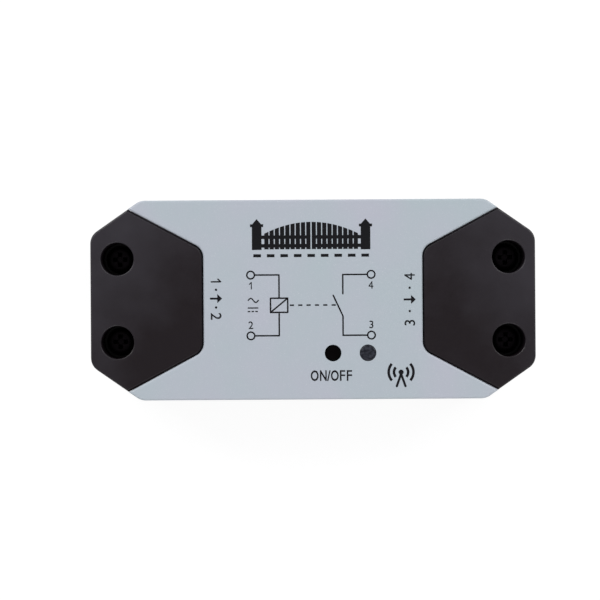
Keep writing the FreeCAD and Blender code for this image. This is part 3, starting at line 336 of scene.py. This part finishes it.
def millimetres(node):
    """The lowest and highest corners of a node, in millimetres."""
    return [Vector(corner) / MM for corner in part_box(node)]


def upright_axis(low, high):
    """The middle of a box, seen from above."""
    return ((low.x + high.x) / 2, (low.y + high.y) / 2)


def to_metres(bm):
    """Scale a mesh from millimetres to metres and turn its faces outwards."""
    bmesh.ops.scale(bm, vec=(MM, MM, MM), verts=bm.verts)
    bmesh.ops.recalc_face_normals(bm, faces=bm.faces)


def put_in_scene(name, bm):
    """Make an object at the origin from a mesh in metres."""
    mesh = bpy.data.meshes.new(name)
    bm.to_mesh(mesh)
    bm.free()
    made = bpy.data.objects.new(name, mesh)
    bpy.context.collection.objects.link(made)
    return made


def keep(name, bm, material, body, replaced=()):
    """Make a piece from a mesh in millimetres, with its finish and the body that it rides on."""
    to_metres(bm)
    piece = put_in_scene(name, bm)
    piece.data.materials.append(material)
    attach(piece, body)
    if replaced:
        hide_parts(*replaced)
    return piece


def smooth(piece):
    """Smooth shading, apart from the sharp edges."""
    piece.data.shade_smooth()
    piece.data.set_sharp_from_angle(angle=SHARP_ANGLE)


def lathe(bm, profile, centre, steps=64):
    """Turn a profile of radii and heights about an upright axis."""
    verts = [bm.verts.new((radius, 0, height)) for radius, height in profile]
    edges = [bm.edges.new(pair) for pair in zip(verts, verts[1:])]
    bmesh.ops.spin(bm, geom=verts + edges, cent=(0, 0, 0), axis=(0, 0, 1), dvec=(0, 0, 0),
                   angle=FULL_TURN, steps=steps, use_merge=True)
    bmesh.ops.remove_doubles(bm, verts=bm.verts, dist=MERGE_REACH)
    bmesh.ops.translate(bm, vec=(*centre, 0), verts=bm.verts)


def rounded(radius, low, high, corner):
    """The outer side of a turned profile between two heights, with its top corner rounded."""
    points = [(radius, low)]
    steps = 5
    for step in range(steps + 1):
        turn = QUARTER_TURN * step / steps
        across, upwards = corner * math.cos(turn), corner * math.sin(turn)
        points.append((radius - corner + across, high - corner + upwards))
    return points


# Printed marks
INK_HEIGHT = 0.015
MARK_SINK = 0.01
LAYER = 0.002
NUMBER_WEIGHT = 0.008
NUMBER_STROKE = 0.13
CAPITAL_WEIGHT = 0.022
TOP = millimetres("top_shell")[1].z


def stroke(bm, start, end, width, layer=0):
    """A straight line of ink between two points, on one of the layers that cross each other."""
    run = Vector(end) - Vector(start)
    middle = (Vector(end) + Vector(start)) / 2
    turn = Matrix.Rotation(math.atan2(run.y, run.x), 4, "Z")
    size = Matrix.Diagonal((run.length / 2, width / 2, 1, 1))
    bmesh.ops.create_grid(bm, x_segments=1, y_segments=1, size=1,
                          matrix=Matrix.Translation((*middle, layer * LAYER)) @ turn @ size)


def arc(bm, centre, radius, width, start, sweep):
    """A curved line of ink about a centre, from an angle over a sweep in degrees."""
    steps = 24
    inner = bm.verts.new((radius - width / 2, 0, 0))
    outer = bm.verts.new((radius + width / 2, 0, 0))
    edge = bm.edges.new((inner, outer))
    before = set(bm.verts) - {inner, outer}
    bmesh.ops.spin(bm, geom=[inner, outer, edge], cent=(0, 0, 0), axis=(0, 0, 1), dvec=(0, 0, 0),
                   angle=math.radians(sweep), steps=steps, use_merge=sweep == 360)
    made = [vert for vert in bm.verts if vert not in before]
    place = Matrix.Translation((*centre, 0)) @ Matrix.Rotation(math.radians(start), 4, "Z")
    bmesh.ops.transform(bm, matrix=place, verts=made)


def dot(bm, centre, radius, layer=2):
    """A filled round spot of ink."""
    bmesh.ops.create_circle(bm, cap_ends=True, radius=radius, segments=32,
                            matrix=Matrix.Translation((*centre, layer * LAYER)))


def filled(bm, points):
    """A filled outline of ink."""
    bm.faces.new([bm.verts.new((*point, 0)) for point in points])


def outlined(bm, points, width):
    """A line of ink through points, with round joints."""
    for number, (start, end) in enumerate(zip(points, points[1:])):
        stroke(bm, start, end, width, layer=number % 2)
    for point in dict.fromkeys(points):
        dot(bm, point, width / 2)


def thicken(bm, thickness):
    """Give a flat drawing its thickness upwards."""
    raised = bmesh.ops.extrude_face_region(bm, geom=bm.faces[:], use_keep_orig=True)
    top = [item for item in raised["geom"] if isinstance(item, bmesh.types.BMVert)]
    bmesh.ops.translate(bm, vec=(0, 0, thickness), verts=top)


def print_mark(name, bm, centre, surface, material, thickness=INK_HEIGHT):
    """Give a flat drawing its thickness and print it on a surface at a height."""
    for face in bm.faces:
        if face.normal.z < 0:
            face.normal_flip()
    bm.normal_update()
    thicken(bm, thickness + MARK_SINK)
    bmesh.ops.translate(bm, vec=(*centre, surface - MARK_SINK), verts=bm.verts)
    keep(name, bm, material, "casing")


def letters(bm, text, centre, height, width=None, turn=0, weight=0):
    """Plain upright letters or numbers of a cap height, fitted to a width where one is given."""
    curve = bpy.data.curves.new("lettering", "FONT")
    curve.body = text
    curve.resolution_u = 6
    curve.offset = weight
    source = bpy.data.objects.new("lettering", curve)
    bpy.context.collection.objects.link(source)
    mesh = bpy.data.meshes.new_from_object(source)
    bpy.data.objects.remove(source)
    bpy.data.curves.remove(curve)
    before = set(bm.verts)
    bm.from_mesh(mesh)
    bpy.data.meshes.remove(mesh)
    made = [vert for vert in bm.verts if vert not in before]
    low = Vector((min(vert.co.x for vert in made), min(vert.co.y for vert in made), 0))
    high = Vector((max(vert.co.x for vert in made), max(vert.co.y for vert in made), 0))
    tall = height / (high.y - low.y)
    wide = width / (high.x - low.x) if width else tall
    fit = Matrix.Diagonal((wide, tall, 1, 1))
    place = Matrix.Translation((*centre, 0)) @ Matrix.Rotation(math.radians(turn), 4, "Z") @ fit
    bmesh.ops.transform(bm, matrix=place @ Matrix.Translation(-(low + high) / 2), verts=made)


# Drawn numbers, in shares of their height: the points of a line, and where a bar from its end goes
DRAWN_NUMERALS = {
    "1": (((0.1, -0.5), (0.1, 0.5), (-0.18, 0.22)), None),
    "4": (((0.12, -0.5), (0.12, 0.5), (-0.34, -0.18)), (0.34, -0.18)),
}


def numeral(bm, number, centre, height, turn=0):
    """A plain number: a one with its flag and a four are strokes as heavy as the other numbers."""
    if number not in DRAWN_NUMERALS:
        letters(bm, number, centre, height, turn=turn, weight=NUMBER_WEIGHT)
        return
    width = NUMBER_STROKE * height
    upright = Matrix.Rotation(math.radians(turn), 2)

    def placed(point):
        return tuple(Vector(centre) + upright @ Vector(point) * (height - width))

    line, bar_end = DRAWN_NUMERALS[number]
    outlined(bm, [placed(point) for point in line], width)
    if bar_end:
        stroke(bm, placed(line[-1]), placed(bar_end), width, layer=3)


def gate_mark():
    """A plain pair of boarded gate leaves between two capped posts, over a dashed driveway."""
    bm = bmesh.new()
    half, foot = 12.0, -2.2
    post_width, post_height, post_inset = 1.9, 4.6, 0.3
    cap_reach, cap_height, cap_line = 1.3, 4.8, 0.55
    point_reach, point_low, point_high = 0.95, 5.0, 6.1
    hinge_gap, middle = 0.65, 0.12
    hinge = half - post_width - hinge_gap
    boards, board_gap, board_low = 9, 0.2, 0.1
    board_pitch = (hinge - middle) / boards
    hinge_height, arch_rise = 3.1, 2.4
    rail_heights, rail_line, rail_overlap = (0.8, 2.5), 0.7, 0.5
    for side in (-1, 1):
        post = side * (half - post_width / 2 - post_inset)
        stroke(bm, (post, foot), (post, foot + post_height), post_width)
        cap_y = foot + cap_height
        stroke(bm, (post - cap_reach, cap_y), (post + cap_reach, cap_y), cap_line, layer=1)
        filled(bm, [(post - point_reach, foot + point_low), (post + point_reach, foot + point_low),
                    (post, foot + point_high)])
        for number in range(boards):
            near = middle + number * board_pitch
            far = middle + (number + 1) * board_pitch - board_gap
            near_top, far_top = [foot + hinge_height + arch_rise * (1 - (x / hinge) ** 2)
                                 for x in (near, far)]
            filled(bm, [(side * near, foot + board_low), (side * far, foot + board_low),
                        (side * far, far_top), (side * near, near_top)])
        for height in rail_heights:
            y = foot + height
            stroke(bm, (side * middle, y), (side * (hinge + rail_overlap), y), rail_line, layer=1)
    dashes, dash_reach, dash_line, dash_drop = 9, 0.75, 0.6, 1.15
    dash_pitch = 2 * half / dashes
    dash_y = foot - dash_drop
    for number in range(dashes):
        x = (number + 0.5) * dash_pitch - half
        stroke(bm, (x - dash_reach, dash_y), (x + dash_reach, dash_y), dash_line)
    print_mark("gate_mark", bm, centre=(-0.3, 12.05), surface=TOP, material=black_ink)


def wiring_mark():
    """The wiring of the module in standard signs: supply, coil and closing contact."""
    bm = bmesh.new()
    line, ring, lead = 0.3, 0.75, 5.6
    left, right, upper, lower = -11.9, 11.9, 6.0, -6.0
    number_height, number_drop = 1.5, 2.1
    poles = (("1", left, upper), ("2", left, lower), ("3", right, lower), ("4", right, upper))
    for number, x, y in poles:
        inwards = -1 if x > 0 else 1
        to_middle = -1 if y > 0 else 1
        arc(bm, (x, y), ring, line, 0, 360)
        numeral(bm, number, (x, y + to_middle * number_drop), number_height)
        stroke(bm, (x + inwards * ring, y), (x + inwards * lead, y), line)

    coil, coil_reach, coil_top = left + lead, 1.7, 1.4
    coil_left, coil_right = coil - coil_reach, coil + coil_reach
    outlined(bm, [(coil, upper), (coil, coil_top)], line)
    outlined(bm, [(coil, lower), (coil, -coil_top)], line)
    outlined(bm, [(coil_left, coil_top), (coil_right, coil_top), (coil_right, -coil_top),
                  (coil_left, -coil_top), (coil_left, coil_top)], line)
    stroke(bm, (coil_left, -coil_top), (coil_right, coil_top), line)

    contact, contact_gap, blade = right - lead, 2.2, 1.9
    blade_tip = (contact - blade, blade)
    outlined(bm, [(contact, upper), (contact, contact_gap)], line)
    outlined(bm, [(contact, lower), (contact, -contact_gap), blade_tip], line)

    link_dashes, dash_share, blade_middle = 6, 0.5, contact - 1.0
    link_pitch = (blade_middle - coil_right) / link_dashes
    for number in range(link_dashes):
        x = coil_right + link_pitch * (number + (1 - dash_share) / 2)
        stroke(bm, (x, 0), (x + link_pitch * dash_share, 0), line)

    sign_left, sign_line = left - 0.6, line * 0.8
    wave_left, wave_y, wave_height = left - 0.5, 1.0, 0.42
    wave_steps, wave_step = 8, 0.25
    wave = []
    for step in range(wave_steps + 1):
        swing = math.sin(FULL_TURN * step / wave_steps)
        wave.append((wave_left + step * wave_step, wave_y + wave_height * swing))
    outlined(bm, wave, sign_line)
    level_y, level_length = -0.5, 2.1
    stroke(bm, (sign_left, level_y), (sign_left + level_length, level_y), sign_line)
    dash_y, dash_length, dash_pitch = -1.2, 0.5, 0.75
    for number in range(3):
        x = sign_left + number * dash_pitch
        stroke(bm, (x, dash_y), (x + dash_length, dash_y), sign_line)
    print_mark("wiring_mark", bm, centre=(-0.4, -1.1), surface=TOP, material=black_ink)


def way_mark(name, numbers, spacing, centre, turn):
    """An arrow that shows the way through the module, between the numbers of two poles."""
    bm = bmesh.new()
    number_height, shaft_line, dot_radius = 2.1, 0.38, 0.23
    shaft_start, shaft_end = (-1.2, 0), (0.3, 0)
    arrow_head = ((0.25, -0.9), (1.2, 0), (0.25, 0.9))
    for number, place in zip(numbers, (spacing, -spacing)):
        numeral(bm, number, (0, place), number_height, turn)
    stroke(bm, shaft_start, shaft_end, shaft_line)
    filled(bm, arrow_head)
    for place in (spacing / 2, -spacing / 2):
        dot(bm, (0, place), dot_radius)
    print_mark(name, bm, centre, TOP, black_ink)


def end_marks():
    """Pole numbers and an arrow beside each seam."""
    way_mark("input_mark", ("1", "2"), spacing=3.5, centre=(-19.15, 0.3), turn=-90)
    way_mark("output_mark", ("4", "3"), spacing=4.6, centre=(19.1, -0.1), turn=90)


def button_mark():
    """ON/OFF in narrow capitals under the push button, each with its left edge and its width."""
    capitals = (("O", 0.0, 1.54), ("N", 1.81, 1.33), ("/", 3.2, 0.72),
                ("O", 3.97, 1.54), ("F", 5.74, 1.06), ("F", 7.1, 1.06))
    word_width, cap_height = 8.16, 2.1
    bm = bmesh.new()
    for letter, left, width in capitals:
        weight = NUMBER_WEIGHT if letter == "F" else CAPITAL_WEIGHT
        letters(bm, letter, (left + (width - word_width) / 2, 0), cap_height, width, weight=weight)
    print_mark("button_mark", bm, centre=(3.55, -15.05), surface=TOP, material=black_ink)


def radio_mark():
    """A small mast that sends out waves to both sides."""
    bm = bmesh.new()
    source, source_radius = (0, 0.75), 0.5
    legs, leg_line = ((-0.85, -2.0), (0, 0.4), (0.85, -2.0)), 0.46
    wave_line, wave_sweep = 0.52, 84
    dot(bm, source, source_radius, layer=3)
    outlined(bm, legs, leg_line)
    for radius in (1.4, 2.45):
        for facing in (0, 180):
            arc(bm, source, radius, wave_line, facing - wave_sweep / 2, wave_sweep)
    print_mark("radio_mark", bm, centre=(17.3, -15.2), surface=TOP, material=black_ink)


# Turned pieces
def button():
    """The push button with a rounded rim and a shallow dish for the finger."""
    low, high = millimetres("button_cap")
    flange = (high.x - low.x) / 2
    radius, rim, stem = 1.5, 0.28, 1.2
    stem_height, flange_height = 1.15, 0.8
    stem_top = low.z + stem_height
    shoulder = stem_top + flange_height
    dish = [(radius - 0.5, high.z - 0.03), (radius - 0.9, high.z - 0.1), (0, high.z - 0.14)]
    profile = [(0, low.z), (stem, low.z), (stem, stem_top), (flange, stem_top), (flange, shoulder)]
    profile += rounded(radius, shoulder, high.z, rim) + dish
    bm = bmesh.new()
    lathe(bm, profile, upright_axis(low, high))
    smooth(keep("push_button", bm, button_black, "button", ["button_cap"]))


def lamp_pipe():
    """The light pipe with a softly rounded window."""
    low, high = millimetres("light_pipe")
    flange = (high.x - low.x) / 2
    radius, rim, stem, foot = 1.6, 0.25, 1.3, 1.1
    roof, flange_height = 1.85, 0.8
    under_roof = high.z - roof
    under_flange = under_roof - flange_height
    profile = [(0, low.z), (foot, low.z), (stem, low.z + stem - foot), (stem, under_flange),
               (flange, under_flange), (flange, under_roof)]
    profile += rounded(radius, under_roof, high.z, rim) + [(0, high.z)]
    bm = bmesh.new()
    lathe(bm, profile, upright_axis(low, high))
    smooth(keep("lamp_pipe", bm, window, "casing", ["light_pipe"]))


def cross_cutter(centre, top, reach, width, depth):
    """The tapered cross of a driver's tip."""
    tip_reach, tip_width, clearance = 0.35, 0.7, 0.2
    bm = bmesh.new()
    for turn in (0, QUARTER_TURN):
        made = bmesh.ops.create_cube(bm, size=1)["verts"]
        for vert in made:
            at_tip = vert.co.z < 0
            vert.co.x *= 2 * reach * (tip_reach if at_tip else 1)
            vert.co.y *= width * (tip_width if at_tip else 1)
            vert.co.z = top - depth if at_tip else top + depth * clearance
        bmesh.ops.rotate(bm, verts=made, cent=(0, 0, 0), matrix=Matrix.Rotation(turn, 3, "Z"))
    bmesh.ops.translate(bm, vec=(*centre, 0), verts=bm.verts)
    to_metres(bm)
    return put_in_scene("cross_cutter", bm)


def carve(piece, cutter):
    """Cut one mesh out of a piece and take the cutter away."""
    cut = piece.modifiers.new("recess", "BOOLEAN")
    cut.operation = "DIFFERENCE"
    cut.solver = "EXACT"
    cut.use_self = True
    cut.object = cutter
    carved = bpy.data.meshes.new_from_object(piece.evaluated_get(bpy.context.evaluated_depsgraph_get()))
    piece.modifiers.remove(cut)
    piece.data = carved
    cutter_mesh = cutter.data
    bpy.data.objects.remove(cutter)
    bpy.data.meshes.remove(cutter_mesh)


def thread(bm, centre, low, turns, pitch, core, crest):
    """The ridge of a screw thread wound round its core."""
    root, ridge_width, steps = core - 0.08, 0.6 * pitch, 24
    section = [bm.verts.new((root, 0, low)), bm.verts.new((crest, 0, low + ridge_width / 2)),
               bm.verts.new((root, 0, low + ridge_width))]
    edges = [bm.edges.new(pair) for pair in zip(section, section[1:] + section[:1])]
    bmesh.ops.spin(bm, geom=section + edges, cent=(0, 0, 0), axis=(0, 0, 1), dvec=(0, 0, pitch / steps),
                   angle=FULL_TURN * turns, steps=steps * turns)
    bmesh.ops.translate(bm, vec=(*centre, 0), verts=bm.verts)
    bmesh.ops.holes_fill(bm, edges=[edge for edge in bm.edges if edge.is_boundary], sides=3)


def cover_screw(name, body, centre, low, high):
    """A blackened pan-head screw: domed head, cross recess, cut thread and a blunt tip."""
    head, neck, core, crest, tip, flat = 2.8, 1.48, 1.18, 1.5, 0.7, 0.9
    head_height, side_height, chamfer = 2.3, 0.75, 0.15
    tip_height, neck_height, neck_taper = 0.9, 0.6, 0.3
    crown_reach, crown_rise, crown_steps, flat_drop = 1.1, 1.45, 8, 0.02
    seat = high - head_height
    crown = seat + side_height
    under_neck = seat - neck_height
    profile = [(0, low), (tip, low), (core, low + tip_height), (core, under_neck - neck_taper),
               (neck, under_neck), (neck, seat), (head - chamfer, seat), (head, seat + chamfer),
               (head, crown)]
    for step in range(1, crown_steps + 1):
        turn = QUARTER_TURN * step / crown_steps
        across, upwards = crown_reach * math.cos(turn), crown_rise * math.sin(turn)
        profile.append((head - crown_reach + across, crown + upwards))
    profile += [(flat, high - flat_drop), (0, high)]
    bm = bmesh.new()
    lathe(bm, profile, centre, steps=48)
    piece = keep(name, bm, black_screw, body)
    carve(piece, cross_cutter(centre, high, reach=1.7, width=0.95, depth=1.4))
    ridge = bmesh.new()
    thread_start = low + 0.7
    thread(ridge, centre, thread_start, turns=5, pitch=0.85, core=core, crest=crest)
    to_metres(ridge)
    ridge.from_mesh(piece.data)
    ridge.to_mesh(piece.data)
    ridge.free()
    smooth(piece)
    return piece


def cover_screws():
    """The two screws of each end cover, in place of the plain ones."""
    for end in ENDS:
        node = f"{end}_cover_screws"
        low, high = millimetres(node)
        x = (low.x + high.x) / 2
        head = (high.x - low.x) / 2
        for number, y in enumerate((low.y + head, high.y - head), start=1):
            piece = cover_screw(f"{end}_cover_screw_{number}", f"{end}_cover", (x, y), low.z, high.z)
            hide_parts(node)


def seam_lips():
    """The lip along each slanted edge of an end cover, as deep as the roof and wall that it edges."""
    seam_corner = Vector((21.85, 10.0, 0))
    shoulder = Vector((36.7, 17.94, 0))
    outline_corner = Vector((34.0, 19.75, 0))
    thickness, drop, skin = 0.17, 0.08, 0.03
    length, overhang = 14.8, 0.4
    roof, wall_run, parting = 1.8, 2.05, 11.05
    touch = 0.00001
    up = Vector((0, 0, 1))
    along = (shoulder - seam_corner).normalized()
    outward = up.cross(along)
    wall_out = up.cross((shoulder - outline_corner).normalized())
    place = Matrix.Translation(shoulder) @ Matrix((along, up, outward)).transposed().to_4x4()
    for end, side in ENDS.items():
        cover_top = millimetres(f"{end}_cover")[1].z
        top, under = cover_top - drop, cover_top - roof
        bm = bmesh.new()
        filled(bm, [(overhang, parting), (overhang, top), (-length, top), (-length, under),
                    (-wall_run, under), (-wall_run, parting)])
        thicken(bm, thickness)
        bmesh.ops.transform(bm, verts=bm.verts, matrix=place)
        bmesh.ops.bisect_plane(bm, geom=bm.verts[:] + bm.edges[:] + bm.faces[:], dist=touch,
                               plane_co=shoulder - wall_out * skin, plane_no=wall_out, clear_outer=True)
        bmesh.ops.holes_fill(bm, edges=[edge for edge in bm.edges if edge.is_boundary])
        copied = bmesh.ops.duplicate(bm, geom=bm.verts[:] + bm.edges[:] + bm.faces[:])["geom"]
        other_lip = [item for item in copied if isinstance(item, bmesh.types.BMVert)]
        bmesh.ops.scale(bm, vec=(1, -1, 1), verts=other_lip)
        if side < 0:
            bmesh.ops.rotate(bm, verts=bm.verts, cent=(0, 0, 0), matrix=Matrix.Rotation(math.pi, 3, "Z"))
        # The lips take the covers' plastic with its painted sheen.
        keep(f"{end}_seam_lips", bm, cover_plastic, f"{end}_cover")


# Board and terminals
def pole_numbers():
    """Raised numbers on the terminal housings, one beside each screw."""
    pole, set_back, number_height, raised = 3.81, 1.05, 1.5, 0.12
    for end, side in ENDS.items():
        low, high = millimetres(f"{end}_terminal_housing")
        front = side * (max(abs(low.x), abs(high.x)) - set_back)
        numbers = ("1", "2") if end == "input" else ("4", "3")
        bm = bmesh.new()
        for number, y in zip(numbers, (pole, -pole)):
            numeral(bm, number, (0, y), number_height, side * 90)
        print_mark(f"{end}_pole_numbers", bm, (front, 0), high.z, terminal_green,
                   thickness=raised)


def board_marks():
    """Tinned pads round the posts, test pads, and white outlines and numbers on the board's ends."""
    surface = millimetres("circuit_board")[1].z
    post_x, post_y, post_pad, post_pad_width = 28.9, 10.9, 1.75, 1.1
    outline_gap, outline_line, outline_short = 0.3, 0.16, 0.2
    track_start, track_end, track_y, track_pitch = 23.2, 26.4, 13.6, 0.9
    track_line, track_pad = 0.35, 0.34
    number_x, number_y, number_height = 30.9, 14.6, 1.3
    for end, side in ENDS.items():
        pads = bmesh.new()
        legend = bmesh.new()
        housing_low, housing_high = millimetres(f"{end}_terminal_housing")
        rear = side * min(abs(housing_low.x), abs(housing_high.x))
        front = side * max(abs(housing_low.x), abs(housing_high.x))
        for number, across in (("1", 1), ("2", -1)):
            arc(pads, (side * post_x, across * post_y), post_pad, post_pad_width, 0, 360)
            edge = across * (housing_high.y + outline_gap)
            stroke(legend, (rear, edge), (front - side * outline_short, edge), outline_line)
            for step in range(3):
                y = across * (track_y + step * track_pitch)
                stroke(pads, (side * track_start, y), (side * track_end, y), track_line)
                dot(pads, (side * track_end, y), track_pad)
            numeral(legend, number, (side * number_x, across * number_y), number_height)
        print_mark(f"{end}_board_pads", pads, (0, 0), surface, solder)
        print_mark(f"{end}_board_legend", legend, (0, 0), surface, white_ink)


# Studio
def sweep_white():
    """White to the camera, in mirrors and through glass, with a share of real light for the shadow."""
    white_share, white_strength = 0.8, 1.12
    material, tree, shader, _ = finish("sweep_white", roughness=0.9, gloss=0.1)
    shader.inputs["Base Color"].default_value = (0.86, 0.86, 0.86, 1)
    path = tree.nodes.new("ShaderNodeLightPath")
    seen = path.outputs["Is Camera Ray"]
    for name in ("Is Glossy Ray", "Is Transmission Ray"):
        seen = worked_out(tree, "MAXIMUM", seen, path.outputs[name])
    glow = tree.nodes.new("ShaderNodeEmission")
    glow.inputs["Strength"].default_value = white_strength
    mix = tree.nodes.new("ShaderNodeMixShader")
    tree.links.new(worked_out(tree, "MULTIPLY", seen, white_share), mix.inputs["Fac"])
    tree.links.new(shader.outputs["BSDF"], mix.inputs[1])
    tree.links.new(glow.outputs["Emission"], mix.inputs[2])
    tree.links.new(mix.outputs["Shader"], tree.nodes["Material Output"].inputs["Surface"])
    return material


def studio_sweep():
    """A wide pale floor that bends up into a round wall, just under the module."""
    inner_floor, floor, bend, wall, bend_steps = 0.6, 3.0, 1.0, 1.6, 8
    clearance = 0.00005
    profile = [(0, 0), (inner_floor, 0), (floor, 0)]
    for step in range(1, bend_steps + 1):
        turn = QUARTER_TURN * step / bend_steps
        profile.append((floor + bend * math.sin(turn), bend - bend * math.cos(turn)))
    profile.append((floor + bend, wall))
    bm = bmesh.new()
    lathe(bm, profile, (0, 0), steps=96)
    bmesh.ops.translate(bm, vec=(0, 0, -clearance), verts=bm.verts)
    bmesh.ops.recalc_face_normals(bm, faces=bm.faces)
    backdrop = put_in_scene("studio_sweep", bm)
    backdrop.data.shade_smooth()
    backdrop.data.materials.append(sweep_white())


def lamp(name, place, width, power):
    """A soft square lamp that points at the module."""
    light = bpy.data.lights.new(name, "AREA")
    light.size = width
    light.energy = power
    source = bpy.data.objects.new(name, light)
    source.location = place
    source.rotation_euler = (-Vector(place)).to_track_quat("-Z", "Y").to_euler()
    bpy.context.collection.objects.link(source)


def studio():
    """The sweep, an even pale sky and three plain soft lamps."""
    studio_sweep()
    sky_strength = 0.3
    world = bpy.data.worlds.new("studio_air")
    world.use_nodes = True
    sky = world.node_tree.nodes["Background"]
    sky.inputs["Color"].default_value = (1, 1, 1, 1)
    sky.inputs["Strength"].default_value = sky_strength
    bpy.context.scene.world = world
    lamp("left_key", (-0.5, 0.5, 0.55), width=0.45, power=4.2)
    lamp("right_key", (0.5, 0.45, 0.55), width=0.45, power=3.4)
    lamp("fill", (0.1, -0.65, 0.5), width=0.6, power=2.6)


def camera():
    """The camera straight above the module, as in the photograph."""
    lens, sensor = 150.0, 36.0
    view_width = 0.1185
    aim_x, aim_y, roll = -0.00257, -0.00008, -0.37
    data = bpy.data.cameras.new("camera")
    data.lens = lens
    data.sensor_width = sensor
    data.clip_start = 0.01
    viewer = bpy.data.objects.new("camera", data)
    viewer.location = (aim_x, aim_y, TOP * MM + view_width * lens / sensor)
    viewer.rotation_euler = (0, 0, math.radians(roll))
    bpy.context.collection.objects.link(viewer)
    bpy.context.scene.camera = viewer
    bpy.context.scene.view_settings.view_transform = "Standard"


dress_frame()
gate_mark()
wiring_mark()
end_marks()
button_mark()
radio_mark()
button()
lamp_pipe()
cover_screws()
seam_lips()
pole_numbers()
board_marks()
studio()
camera()
